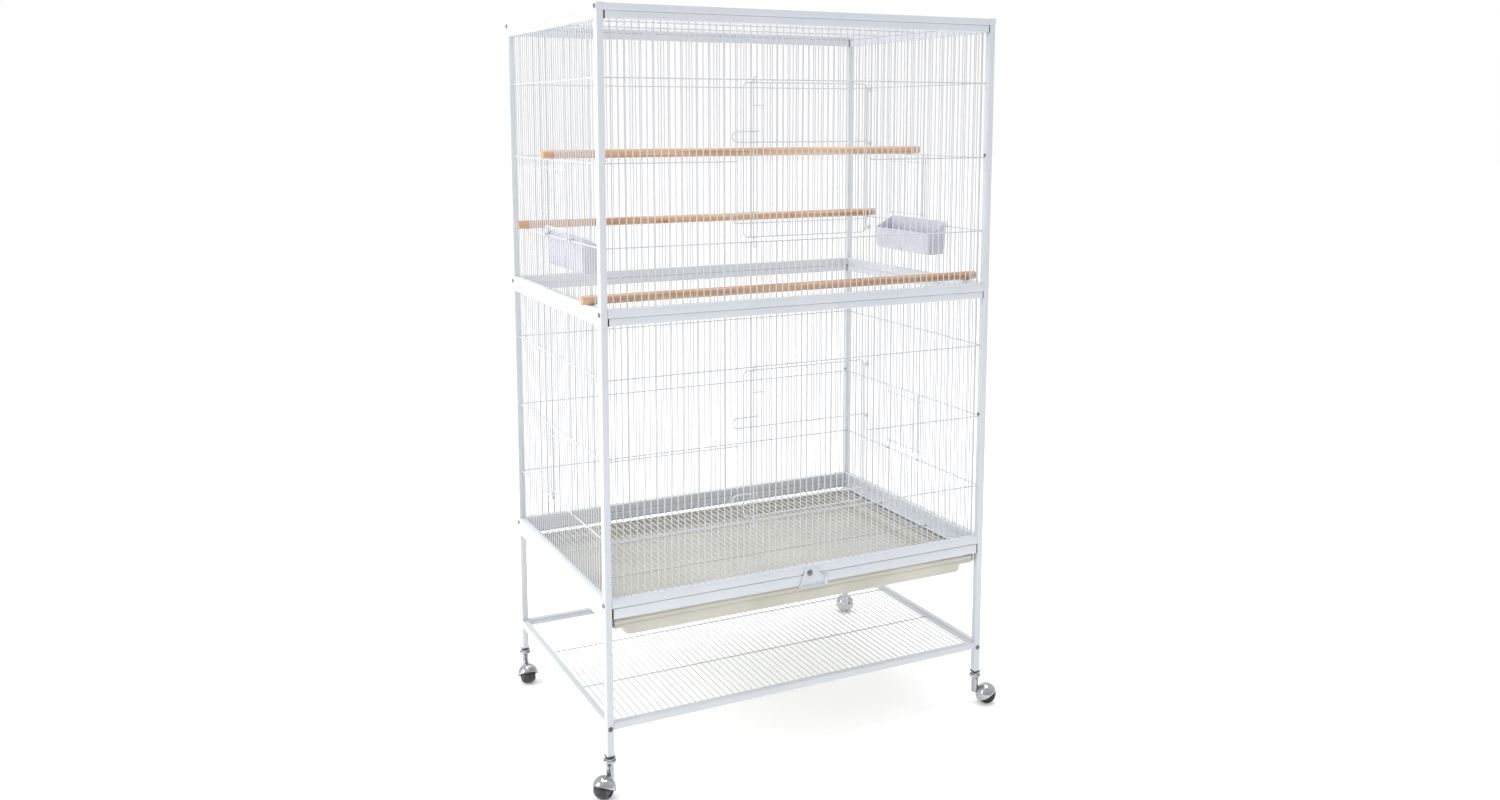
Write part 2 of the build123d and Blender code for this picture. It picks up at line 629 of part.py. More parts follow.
def make_door_latch(tier, floor):
    """A wire rod in the door's two eyes, hooked at both ends, with a thumb tab."""
    levels = cross_levels(floor)
    low = levels[0] + DOOR_BOTTOM_GAP - LATCH_BELOW_FOOT
    high = levels[2] - DOOR_TOP_GAP + LATCH_TOP_ABOVE
    y = latch_rod_y()
    turn = LATCH_HOOK_WIDTH / 2
    far = LATCH_X + LATCH_HOOK_WIDTH
    path = Line((far, low + LATCH_HOOK_HEIGHT), (far, low + turn))
    path += CenterArc((LATCH_X + turn, low + turn), turn, 0, -180)
    path += Line((LATCH_X, low + turn), (LATCH_X, high - turn))
    path += CenterArc((LATCH_X + turn, high - turn), turn, 180, -180)
    path += Line((far, high - turn), (far, high - LATCH_HOOK_HEIGHT))
    radius = CROSS_R - LATCH_SLACK
    section = Plane(origin=path @ 0, z_dir=path % 0) * Circle(radius)
    wire = sweep(section, path=path)
    wire = upright_plane(y) * wire
    thumb_z = levels[2] - DOOR_TOP_GAP - THUMB_DROP
    thumb = rod((LATCH_X, y, thumb_z), (1, 0, 0), radius - 2 * LATCH_SLACK, THUMB_REACH)
    tip = rod((LATCH_X + THUMB_REACH - radius, y, thumb_z), (0, 0, -1), radius - 4 * LATCH_SLACK, THUMB_TIP)
    save(f"{tier}_door_latch", [weld([wire, thumb, tip])])


# ---- small side doors ----

def make_small_door(tier, floor, side, sx):
    levels = cross_levels(floor)
    near, far = small_door_span(sx)
    low = levels[0] + SMALL_FOOT
    high = low + SMALL_HEIGHT
    x = sx * (FIELD_X + UPRIGHT_R + SLIDE_GAP + CROSS_R)
    inside = [u for u in SIDE_UPRIGHTS if near + UPRIGHT_D < u < far - UPRIGHT_D]
    uprights = [near] + inside + [far]
    rise = (low - SMALL_WIRE_END, high + SMALL_TOP_END)
    across = (near - UPRIGHT_R, far + UPRIGHT_R)
    pieces = [side_plane(x) * wire_field(uprights, [low, high], across, rise)]
    pin_r = (UPRIGHT_R ** 2 + CROSS_R ** 2) ** 0.5 + SLIDE_GAP
    loop_r = pin_r + EYE_WALL
    hinge = levels[0]
    loops = [near + PITCH / 2, far - PITCH / 2]
    for y in loops:
        pieces.append(block(span(x, UPRIGHT_D), span(y, CROSS_D), (hinge, low)))
        pieces.append(rod((sx * FIELD_X, y - SMALL_LOOP_WIDTH / 2, hinge), (0, 1, 0), loop_r, SMALL_LOOP_WIDTH))
    door = weld(pieces)
    for y in loops:
        door -= rod((sx * FIELD_X, y - SMALL_LOOP_WIDTH, hinge), (0, 1, 0), pin_r, 2 * SMALL_LOOP_WIDTH)
    save(f"{tier}_{side}_small_door", [door])


# ---- casters ----

def truncated_ball():
    """A ball wheel with flat sides and a bore, turned about local Z."""
    bore = AXLE_R + STEM_FIT
    end = (WHEEL_R ** 2 - WHEEL_HALF ** 2) ** 0.5
    outline = ThreePointArc((end, -WHEEL_HALF), (WHEEL_R, 0), (end, WHEEL_HALF))
    outline += Polyline((end, WHEEL_HALF), (bore, WHEEL_HALF), (bore, -WHEEL_HALF), (end, -WHEEL_HALF))
    return revolve(Plane.XZ * make_face(outline), Axis.Z)


def make_casters():
    stems = []
    plugs = []
    washers = []
    for name, (sx, sy) in CORNERS.items():
        x, y = sx * POST_X, sy * POST_Y
        turn = radians(CASTER_TURN[name])
        trail = (cos(turn), sin(turn), 0)
        side = (-sin(turn), cos(turn), 0)
        flange_bottom = CASTER_HEIGHT - PLUG_FLANGE
        stem_top = CASTER_HEIGHT + PLUG_DEPTH - STEM_TOP_GAP
        stems.append(rod((x, y, STEM_BOTTOM), (0, 0, 1), STEM_R, stem_top - STEM_BOTTOM))
        flange = block(span(x, PLUG_SIDE), span(y, PLUG_SIDE), (flange_bottom, CASTER_HEIGHT))
        insert = block(span(x, JOINER), span(y, JOINER), (CASTER_HEIGHT, CASTER_HEIGHT + PLUG_DEPTH))
        bore = rod((x, y, flange_bottom - 1), (0, 0, 1), STEM_R + STEM_FIT, PLUG_DEPTH + PLUG_FLANGE + 2)
        plugs.append(weld([flange, insert]) - bore)
        washer = rod((x, y, SOCKET_TOP + SLIDE_GAP), (0, 0, 1), WASHER_R, WASHER_T)
        washers.append(washer - bore - rod((x, y, SOCKET_TOP), (0, 0, 1), STEM_R + STEM_FIT, WASHER_T + 2))
        hub = (x + TRAIL * trail[0], y + TRAIL * trail[1], WHEEL_R)
        inner_r = WHEEL_R + HOOD_GAP
        outer_r = inner_r + HOOD_WALL
        axle_half = outer_r - AXLE_END_GAP
        lean = (-trail[0] * sin(HOOD_LEAN), -trail[1] * sin(HOOD_LEAN), cos(HOOD_LEAN))
        shell = Pos(*hub) * Sphere(outer_r)
        keep = Plane(origin=tuple(h + HOOD_CUT * d for h, d in zip(hub, lean)), z_dir=lean)
        keep = keep * Box(4 * outer_r, 4 * outer_r, 3 * outer_r, align=(Align.CENTER, Align.CENTER, Align.MIN))
        shell = shell & keep
        socket = rod((x, y, SOCKET_BOTTOM), (0, 0, 1), SOCKET_R, SOCKET_TOP - SOCKET_BOTTOM)
        swivel = rod((x, y, SOCKET_TOP - SWIVEL_H), (0, 0, 1), SWIVEL_R, SWIVEL_H)
        swivel = chamfer(swivel.edges().filter_by(GeomType.CIRCLE), SWIVEL_H / 4)
        hood = shell + socket + swivel - Pos(*hub) * Sphere(inner_r)
        hood -= rod((x, y, STEM_BOTTOM - 1), (0, 0, 1), STEM_R + STEM_FIT, SOCKET_TOP)
        start = tuple(h - axle_half * d for h, d in zip(hub, side))
        hole_start = tuple(h - 2 * outer_r * d for h, d in zip(hub, side))
        hood -= rod(hole_start, side, AXLE_R + STEM_FIT, 4 * outer_r)
        hood = hood.solids().sort_by(SortBy.VOLUME)[-1]
        axle = rod(start, side, AXLE_R, 2 * axle_half)
        save(f"caster_hood_{name}", [hood, axle])
        save(f"caster_wheel_{name}", [Plane(origin=hub, z_dir=side) * truncated_ball()])
    save("caster_stems", stems)
    save("caster_plugs", plugs)
    save("caster_washers", washers)


# ---- joiners and screws ----

def make_joiners():
    joiners = []
    for sx, sy in CORNERS.values():
        for level, tier in ((TIERS["lower"], "lower"), (TIERS["upper"], "upper")):
            core = block(span(sx * POST_X, JOINER), span(sy * POST_Y, JOINER), span(level, 2 * JOINER_HALF))
            here = [s for s in CORNER_SCREWS[tier] if s[0][0] * sx > 0 and s[0][1] * sy > 0]
            joiners.append(drill(core, here))
    save("post_joiners", joiners)


def make_screws():
    corner_places = [place for places in CORNER_SCREWS.values() for place in places]
    save("corner_screws", [screw(*place) for place in corner_places + shelf_screw_places()])
    places = [place for floor in TIERS.values() for place in panel_screw_places(floor)]
    save("panel_screws", [screw(*place, PANEL_SCREW_HEAD_R) for place in places])


# ---- perches and cups ----

def make_perches():
    low = cross_levels(TIERS["upper"])
    rail = TIERS["upper"] + LOW_RAIL
    rest = CROSS_R + PERCH_REST + PERCH_D / 2
    perches = {
        "perch_front": (-PITCH * 15.5, rail + PERCH_REST + PERCH_D / 2),
        "perch_middle": (PITCH * 0.5, low[1] + rest),
        "perch_back": (PITCH * 13.5, low[0] + rest),
    }
    half = HALF_W + PERCH_OVERHANG
    slit_root = FIELD_X - UPRIGHT_R - PERCH_SLIT_ROOT
    for name, (y, z) in perches.items():
        perch = rod((-half, y, z), (1, 0, 0), PERCH_D / 2, 2 * half)
        perch = chamfer(perch.edges().filter_by(GeomType.CIRCLE), PERCH_CHAMFER)
        for s in (-1, 1):
            reach = tuple(sorted((s * slit_root, s * (half + 1))))
            perch -= block(reach, span(y, PERCH_SLIT), span(z, PERCH_D + 2))
        save(name, [perch])


def make_cup(side, sx):
    """A seed trough with a raised back and sloped ends, hung on a side cross wire by two hooks."""
    wire_z = cross_levels(TIERS["upper"])[0]
    back = FIELD_X - CUP_WIRE_GAP
    front = back - CUP_OUT
    foot = wire_z - CUP_DROP
    head, lip = foot + CUP_BACK, foot + CUP_FRONT

    def profile(inset, top_extra):
        slope = (head - lip) / CUP_OUT
        low_x = front + inset
        high_x = back - inset
        return Polyline(
            (low_x, foot + inset),
            (high_x, foot + inset),
            (high_x, head - slope * inset + top_extra),
            (low_x, lip + slope * inset + top_extra),
            close=True,
        )

    back_end = CUP_MIDDLE + CUP_LENGTH / 2
    plane = Plane(origin=(0, back_end, 0), x_dir=(1, 0, 0), z_dir=(0, -1, 0))
    outer = plane * extrude(make_face(profile(0, 0)), amount=CUP_LENGTH)
    floor_edges = outer.edges().filter_by(Axis.Y).sort_by(Axis.Z)[:2]
    outer = fillet(floor_edges, CUP_CORNER)
    plane = Plane(origin=(0, back_end - CUP_WALL, 0), x_dir=(1, 0, 0), z_dir=(0, -1, 0))
    inner = plane * extrude(make_face(profile(CUP_WALL, 20)), amount=CUP_LENGTH - 2 * CUP_WALL)
    inner = fillet(inner.edges().filter_by(Axis.Y).sort_by(Axis.Z)[:2], CUP_CORNER - CUP_WALL)
    pieces = [outer - inner]
    top = wire_z + CROSS_R + SLIDE_GAP
    out_x = FIELD_X + UPRIGHT_R + SLIDE_GAP
    for steps in CUP_HOOK_STEPS[side]:
        y = PITCH * steps
        hook = block((back - 1, out_x + CUP_HOOK_WALL), span(y, CUP_HOOK_WIDTH), (top, top + CUP_HOOK_WALL))
        drop = block((out_x, out_x + CUP_HOOK_WALL), span(y, CUP_HOOK_WIDTH), (top - CUP_HOOK_DROP, top + CUP_HOOK_WALL))
        pieces += [hook, drop]
    cup = weld(pieces)
    if sx < 0:
        cup = mirror(cup, about=Plane.YZ)
    save(f"seed_cup_{side}", [cup])


def main():
    os.makedirs("parts", exist_ok=True)
    make_legs()
    make_shelf()
    make_base()
    make_grille()
    make_tray()
    make_side_frames()
    make_front_and_back()
    make_top()
    for tier, floor in TIERS.items():
        make_front_door(tier, floor)
        make_door_latch(tier, floor)
        for side, sx in (("left", -1), ("right", 1)):
            make_small_door(tier, floor, side, sx)
    make_casters()
    make_joiners()
    make_screws()
    make_perches()
    make_cup("left", -1)
    make_cup("right", 1)


main()
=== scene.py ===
import json
import math
import bmesh
import bpy
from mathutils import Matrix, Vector


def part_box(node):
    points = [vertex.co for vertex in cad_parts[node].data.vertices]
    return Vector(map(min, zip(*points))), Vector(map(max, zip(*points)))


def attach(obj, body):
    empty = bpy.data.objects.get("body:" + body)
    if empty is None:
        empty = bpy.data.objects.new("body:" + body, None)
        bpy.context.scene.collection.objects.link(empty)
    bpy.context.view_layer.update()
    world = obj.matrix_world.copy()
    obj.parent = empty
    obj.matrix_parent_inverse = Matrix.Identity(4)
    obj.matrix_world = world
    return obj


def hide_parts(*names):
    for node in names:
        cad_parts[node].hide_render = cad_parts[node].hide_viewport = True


# A two-tier flight cage on a rolling stand, in metres. Front is -Y, +Z is up.

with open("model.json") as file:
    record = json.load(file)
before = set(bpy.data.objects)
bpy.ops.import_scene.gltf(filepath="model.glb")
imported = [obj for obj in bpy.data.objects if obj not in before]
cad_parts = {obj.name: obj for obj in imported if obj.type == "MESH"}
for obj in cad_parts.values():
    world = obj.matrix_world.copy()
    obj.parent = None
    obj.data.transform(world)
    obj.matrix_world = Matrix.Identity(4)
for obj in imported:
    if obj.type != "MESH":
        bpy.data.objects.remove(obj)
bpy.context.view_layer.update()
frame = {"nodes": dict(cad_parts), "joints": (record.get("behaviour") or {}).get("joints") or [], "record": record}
BODY_OF = {node: body for body, nodes in frame["record"]["behaviour"]["bodies"].items() for node in nodes}
SLOT_OF = {part["node"]: part["material_slot"] for part in frame["record"]["subparts"]}

MM = 0.001
PITCH = 12.7 * MM
UPRIGHT_R = 1.0 * MM
CROSS_R = 1.25 * MM
WELD_DEPTH = 1.9 * MM
WIRE_SIDES = 12
TUBE_WALL = 1.0 * MM
TUBE_EDGE = 1.7 * MM
LOW_RAIL = 16 * MM
CAP = 2.0 * MM
SCREW_HEAD = 2.6 * MM
SCREW_SHANK_R = 2.0 * MM
HOOD_LEAN = math.radians(33.0)
HOOD_CUT = -1.0 * MM
AXLE_R = 1.95 * MM
FIRST_CROSS = 99.5 * MM
CROSS_STEP = 139.5 * MM
TIERS = ("lower", "upper")
CORNERS = ("front_left", "front_right", "back_left", "back_right")
X, Y, Z = Vector((1, 0, 0)), Vector((0, 1, 0)), Vector((0, 0, 1))


# ---- materials

def add_node(tree, kind, inputs=None, **settings):
    """A node with its settings made and its inputs linked or set by name."""
    node = tree.nodes.new(kind)
    for key, value in settings.items():
        setattr(node, key, value)
    for socket, value in (inputs or {}).items():
        target = node.inputs[socket]
        if isinstance(value, bpy.types.NodeSocket):
            tree.links.new(value, target)
        else:
            target.default_value = value
    return node


def new_finish(name, constants=None):
    """A node material with its tree, its shader and an Object coordinate to build on."""
    material = bpy.data.materials.new(name)
    material.use_nodes = True
    tree = material.node_tree
    shader = tree.nodes["Principled BSDF"]
    for label, value in (constants or {}).items():
        shader.inputs[label].default_value = value
    return material, tree, shader, add_node(tree, "ShaderNodeTexCoord").outputs["Object"]


def stretched(tree, coords, scale):
    return add_node(tree, "ShaderNodeMapping", {"Vector": coords, "Scale": scale}).outputs["Vector"]


def noise(tree, coords, scale, detail=4.0, roughness=0.5):
    inputs = {"Vector": coords, "Scale": scale, "Detail": detail, "Roughness": roughness}
    return add_node(tree, "ShaderNodeTexNoise", inputs).outputs["Fac"]


def ramp(tree, value, stops):
    """A colour ramp over value with (place, colour) stops."""
    node = add_node(tree, "ShaderNodeValToRGB", {"Fac": value})
    elements = node.color_ramp.elements
    while len(elements) < len(stops):
        elements.new(0.5)
    for element, (place, colour) in zip(elements, stops):
        element.position = place
        element.color = (*colour, 1)
    return node.outputs["Color"]


def multiplied(tree, under, over, factor):
    inputs = {"Factor": factor, "A": under, "B": over}
    mix = add_node(tree, "ShaderNodeMix", inputs, data_type="RGBA", blend_type="MULTIPLY")
    return mix.outputs["Result"]


def colour_shader(tree, shader, value, stops):
    tree.links.new(ramp(tree, value, stops), shader.inputs["Base Color"])


def roughen_shader(tree, shader, value, low, high):
    spread = add_node(tree, "ShaderNodeMapRange", {"Value": value, "To Min": low, "To Max": high})
    tree.links.new(spread.outputs["Result"], shader.inputs["Roughness"])


def bump_shader(tree, shader, height, strength, distance):
    node = add_node(tree, "ShaderNodeBump", {"Height": height, "Strength": strength, "Distance": distance})
    tree.links.new(node.outputs["Normal"], shader.inputs["Normal"])


def powder_coat(name, base, shade):
    """White powder coat: a faint cool mottle, orange-peel ripple and a soft gloss."""
    material, tree, shader, coords = new_finish(name, {"Coat Weight": 0.25, "Coat Roughness": 0.2})
    colour_shader(tree, shader, noise(tree, coords, 9.0, 5.0), [(0.3, shade), (0.7, base)])
    roughen_shader(tree, shader, noise(tree, coords, 60.0), 0.28, 0.42)
    bump_shader(tree, shader, noise(tree, coords, 900.0, 2.0), 0.12, 0.0003)
    return material


def tray_plastic():
    """Warm grey formed plastic with a fine leather-like grain."""
    material, tree, shader, coords = new_finish("formed grey tray plastic")
    mottle = noise(tree, coords, 7.0, 6.0)
    colour_shader(tree, shader, mottle, [(0.3, (0.47, 0.46, 0.40)), (0.7, (0.55, 0.54, 0.475))])
    roughen_shader(tree, shader, noise(tree, coords, 120.0), 0.42, 0.58)
    bump_shader(tree, shader, noise(tree, coords, 1400.0, 3.0), 0.2, 0.0003)
    return material


def perch_wood():
    """Raw dowel: long fine grain along X, darker growth streaks, small knots and pores."""
    material, tree, shader, coords = new_finish("raw dowel wood")
    grain = noise(tree, stretched(tree, coords, (0.03, 1.0, 1.0)), 130.0, 8.0, 0.65)
    streak = noise(tree, stretched(tree, coords, (0.12, 1.0, 1.0)), 22.0, 4.0, 0.6)
    pale = ramp(tree, grain, [(0.35, (0.50, 0.33, 0.22)), (0.62, (0.76, 0.58, 0.43))])
    dark = ramp(tree, streak, [(0.36, (0.60, 0.42, 0.30)), (0.60, (1.0, 0.97, 0.93))])
    cells = {"Vector": stretched(tree, coords, (0.45, 1.0, 1.0)), "Scale": 16.0}
    knots = add_node(tree, "ShaderNodeTexVoronoi", cells).outputs["Distance"]
    knot_colour = ramp(tree, knots, [
        (0.05, (0.40, 0.24, 0.15)), (0.13, (0.85, 0.76, 0.68)), (0.2, (1.0, 1.0, 1.0))])
    knotted = multiplied(tree, multiplied(tree, pale, dark, 0.75), knot_colour, 0.8)
    tree.links.new(knotted, shader.inputs["Base Color"])
    roughen_shader(tree, shader, grain, 0.55, 0.8)
    bump_shader(tree, shader, grain, 0.35, 0.0006)
    return material


def cup_plastic():
    """Milky moulded plastic that lets light through."""
    material, tree, shader, coords = new_finish("milky cup plastic", {
        "Subsurface Weight": 0.25, "Subsurface Radius": (0.003, 0.003, 0.004), "Coat Weight": 0.3})
    cloud = noise(tree, coords, 25.0, 3.0)
    colour_shader(tree, shader, cloud, [(0.3, (0.49, 0.49, 0.57)), (0.7, (0.55, 0.55, 0.62))])
    roughen_shader(tree, shader, noise(tree, coords, 200.0), 0.22, 0.34)
    bump_shader(tree, shader, noise(tree, coords, 500.0), 0.08, 0.0003)
    return material


def plain_metal(name, base, shade, rough, scale=60.0):
    """Metal with faint handling marks."""
    material, tree, shader, coords = new_finish(name, {"Metallic": 1.0})
    smear = noise(tree, coords, scale, 6.0)
    colour_shader(tree, shader, smear, [(0.3, shade), (0.7, base)])
    roughen_shader(tree, shader, smear, *rough)
    bump_shader(tree, shader, noise(tree, coords, 700.0), 0.05, 0.0002)
    return material


def black_moulding(name, rough):
    """Black moulded nylon with a dusty bloom and fine grain."""
    material, tree, shader, coords = new_finish(name)
    dust = noise(tree, coords, 90.0, 5.0)
    colour_shader(tree, shader, dust, [(0.35, (0.010, 0.010, 0.012)), (0.75, (0.035, 0.035, 0.038))])
    roughen_shader(tree, shader, dust, *rough)
    bump_shader(tree, shader, noise(tree, coords, 1500.0), 0.15, 0.0002)
    return material


FINISH = {
    "painted_tube": powder_coat("white powder coat on tube", (0.61, 0.64, 0.675), (0.565, 0.60, 0.64)),
    "painted_wire": powder_coat("white powder coat on wire", (0.58, 0.59, 0.61), (0.53, 0.54, 0.565)),
    "tray_plastic": tray_plastic(),
    "perch_wood": perch_wood(),
    "cup_plastic": cup_plastic(),
    "black_plastic": black_moulding("black nylon plug", (0.35, 0.55)),
    "caster_ball": black_moulding("black caster ball", (0.18, 0.38)),
    "chrome": plain_metal("caster chrome", (0.50, 0.51, 0.53), (0.36, 0.37, 0.39), (0.04, 0.12)),
    "dark_screw": plain_metal("dark zinc screw", (0.26, 0.26, 0.27), (0.12, 0.12, 0.125), (0.22, 0.4), 300.0),
    "bright_steel": plain_metal("bearing steel", (0.60, 0.61, 0.63), (0.45, 0.46, 0.48), (0.22, 0.4), 200.0),
}


# ---- mesh helpers

def new_object(name, mesh):
    piece = bpy.data.objects.new(name, mesh)
    bpy.context.scene.collection.objects.link(piece)
    return piece


def shade(mesh, sharp_degrees=40.0):
    """Smooth faces, with sharp edges where faces meet at more than the given angle."""
    mesh.polygons.foreach_set("use_smooth", [True] * len(mesh.polygons))
    mesh.set_sharp_from_angle(angle=math.radians(sharp_degrees))
    mesh.update()


def to_mesh(name, builder):
    """Turn a bmesh into a plain mesh and free it."""
    mesh = bpy.data.meshes.new(name)
    builder.to_mesh(mesh)
    builder.free()
    return mesh


def pour(builder, mesh):
    """Add a mesh to a bmesh and drop it."""
    builder.from_mesh(mesh)
    bpy.data.meshes.remove(mesh)


def settled_mesh(piece):
    """The plain mesh of an object with its modifiers done."""
    bpy.context.view_layer.update()
    return bpy.data.meshes.new_from_object(piece.evaluated_get(bpy.context.evaluated_depsgraph_get()))


def finish_piece(name, builder, stands_for, sharp_degrees=40.0):
    """Turn a bmesh into a piece that stands for CAD nodes, rides with their body and takes their finish."""
    bmesh.ops.recalc_face_normals(builder, faces=builder.faces)
    mesh = to_mesh(name, builder)
    shade(mesh, sharp_degrees)
    return place_piece(name, mesh, stands_for)


def place_piece(name, mesh, stands_for):
    slot = SLOT_OF[stands_for[0]]
    mesh.materials.clear()
    mesh.materials.append(FINISH[slot])
    piece = new_object(name, mesh)
    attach(piece, BODY_OF[stands_for[0]])
    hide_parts(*stands_for)
    return piece


def skin_rings(builder, rings, endless=False):
    """Join rings of points with quads; cap both ends, or join the last ring to the first when endless."""
    loops = [[builder.verts.new(p) for p in ring] for ring in rings]
    count = len(loops[0])
    pairs = list(zip(loops, loops[1:]))
    if endless:
        pairs.append((loops[-1], loops[0]))
    for a, b in pairs:
        for k in range(count):
            j = (k + 1) % count
            builder.faces.new((a[k], a[j], b[j], b[k]))
    if not endless:
        builder.faces.new(loops[0][::-1])
        builder.faces.new(loops[-1])


def circle(middle, radius, side, up, count):
    """Points round middle, starting on the side axis and turning towards up."""
    angles = (2 * math.pi * k / count for k in range(count))
    return [middle + radius * (math.cos(a) * side + math.sin(a) * up) for a in angles]


def cross_axes(direction):
    """Two unit vectors square to direction."""
    direction = direction.normalized()
    helper = Z if abs(direction.z) < 0.9 else X
    side = direction.cross(helper).normalized()
    return side, direction.cross(side).normalized()


def bend_points(points, radius, steps=5):
    """Round each inner corner of a bent wire's centreline with an arc of the given radius."""
    points = [Vector(p) for p in points]
    out = [points[0]]
    for before, corner, after in zip(points, points[1:], points[2:]):
        a = (before - corner).normalized()
        b = (after - corner).normalized()
        half = a.angle(b) / 2
        if half > math.radians(89):
            continue
        reach = min(radius / math.tan(half), (before - corner).length * 0.5, (after - corner).length * 0.5)
        start, end = corner + a * reach, corner + b * reach
        middle = corner + (a + b).normalized() * (reach / math.cos(half))
        arm = start - middle
        sweep = end - middle
        for k in range(steps + 1):
            t = k / steps
            out.append(middle + arm.slerp(sweep, t, arm).normalized() * arm.length)
    out.append(points[-1])
    return out


def add_wire(builder, points, radius, sides=WIRE_SIDES, closed=False):
    """Sweep a round section along points, carrying its frame round the bends."""
    points = [Vector(p) for p in points]
    clean = [points[0]]
    for p in points[1:]:
        if (p - clean[-1]).length > 1e-6:
            clean.append(p)
    if closed and (clean[0] - clean[-1]).length < 1e-6:
        clean.pop()
    count = len(clean)
    tangents = []
    for k in range(count):
        if closed:
            ahead, behind = clean[(k + 1) % count], clean[k - 1]
        else:
            ahead, behind = clean[min(k + 1, count - 1)], clean[max(k - 1, 0)]
        tangents.append((ahead - behind).normalized())
    side, _ = cross_axes(tangents[0])
    rings = []
    for p, tangent in zip(clean, tangents):
        side = (side - tangent * side.dot(tangent)).normalized()
        rings.append(circle(p, radius, side, tangent.cross(side), sides))
    skin_rings(builder, rings, closed)


def add_coil(builder, middle, axis, coil_radius, wire_radius, turns, height):
    """A close-wound loop of wire round an axis."""
    side, up = cross_axes(axis)
    steps = turns * 14
    points = []
    for k in range(steps + 1):
        a = 2 * math.pi * turns * k / steps
        lift = height * (k / steps - 0.5)
        points.append(middle + axis * lift + coil_radius * (math.cos(a) * side + math.sin(a) * up))
    add_wire(builder, points, wire_radius, 8)


def islands(node):
    """Boxes (low, high) of each separate solid in a CAD node."""
    source = bmesh.new()
    source.from_mesh(frame["nodes"][node].data)
    bmesh.ops.remove_doubles(source, verts=source.verts, dist=1e-6)
    source.verts.ensure_lookup_table()
    seen = set()
    boxes = []
    for vert in source.verts:
        if vert.index in seen:
            continue
        stack, group = [vert], []
        seen.add(vert.index)
        while stack:
            here = stack.pop()
            group.append(here.co.copy())
            for edge in here.link_edges:
                other = edge.other_vert(here)
                if other.index not in seen:
                    seen.add(other.index)
                    stack.append(other)
        low = Vector([min(p[k] for p in group) for k in range(3)])
        high = Vector([max(p[k] for p in group) for k in range(3)])
        boxes.append((low, high))
    source.free()
    return boxes


# ---- Geometry Nodes

def new_tree(name, sockets):
    """A Geometry Nodes tree with a geometry in and out and the given named inputs."""
    tree = bpy.data.node_groups.new(name, "GeometryNodeTree")
    tree.interface.new_socket("Geometry", in_out="INPUT", socket_type="NodeSocketGeometry")
    for label, kind in sockets:
        tree.interface.new_socket(label, in_out="INPUT", socket_type=kind)
    tree.interface.new_socket("Geometry", in_out="OUTPUT", socket_type="NodeSocketGeometry")
    start = tree.nodes.new("NodeGroupInput")
    end = tree.nodes.new("NodeGroupOutput")
    return tree, start, end


def smooth_sides(tree, geometry):
    """Smooth shading that stays crisp where the sides meet the cut ends."""
    angle = add_node(tree, "GeometryNodeInputMeshEdgeAngle")
    crisp = add_node(tree, "FunctionNodeCompare", {0: angle.outputs["Unsigned Angle"], 1: 0.7})
    soft = add_node(tree, "GeometryNodeSetShadeSmooth", {"Geometry": geometry, "Shade Smooth": True})
    sharp = add_node(tree, "GeometryNodeSetShadeSmooth",
                     {"Geometry": soft.outputs[0], "Selection": crisp.outputs[0], "Shade Smooth": False},
                     domain="EDGE")
    return sharp.outputs[0]


def close_tree(tree, end, geometry, material):
    real = add_node(tree, "GeometryNodeRealizeInstances", {"Geometry": geometry})
    painted = add_node(tree, "GeometryNodeSetMaterial", {"Geometry": real.outputs[0], "Material": material})
    tree.links.new(painted.outputs[0], end.inputs["Geometry"])


def wire_row_tree():
    """A row of equal straight wires: Count wires, Step apart, each running along Run from First."""
    tree, start, end = new_tree("row of wires", [
        ("Count", "NodeSocketInt"), ("First", "NodeSocketVector"), ("Step", "NodeSocketVector"),
        ("Run", "NodeSocketVector"), ("Radius", "NodeSocketFloat"), ("Sides", "NodeSocketInt"),
        ("Finish", "NodeSocketMaterial")])
    tip = add_node(tree, "ShaderNodeVectorMath", {0: start.outputs["First"], 1: start.outputs["Run"]})
    line = add_node(tree, "GeometryNodeCurvePrimitiveLine",
                    {"Start": start.outputs["First"], "End": tip.outputs[0]})
    section = add_node(tree, "GeometryNodeCurvePrimitiveCircle",
                       {"Resolution": start.outputs["Sides"], "Radius": start.outputs["Radius"]})
    wire = add_node(tree, "GeometryNodeCurveToMesh",
                    {"Curve": line.outputs[0], "Profile Curve": section.outputs[0], "Fill Caps": True})
    smooth = smooth_sides(tree, wire.outputs[0])
    places = add_node(tree, "GeometryNodeMeshLine",
                      {"Count": start.outputs["Count"], "Offset": start.outputs["Step"]}, mode="OFFSET")
    copies = add_node(tree, "GeometryNodeInstanceOnPoints", {"Points": places.outputs[0], "Instance": smooth})
    close_tree(tree, end, copies.outputs[0], start.outputs["Finish"])
    return tree


def math_node(tree, operation, a, b=0.0):
    return add_node(tree, "ShaderNodeMath", {0: a, 1: b}, operation=operation).outputs[0]


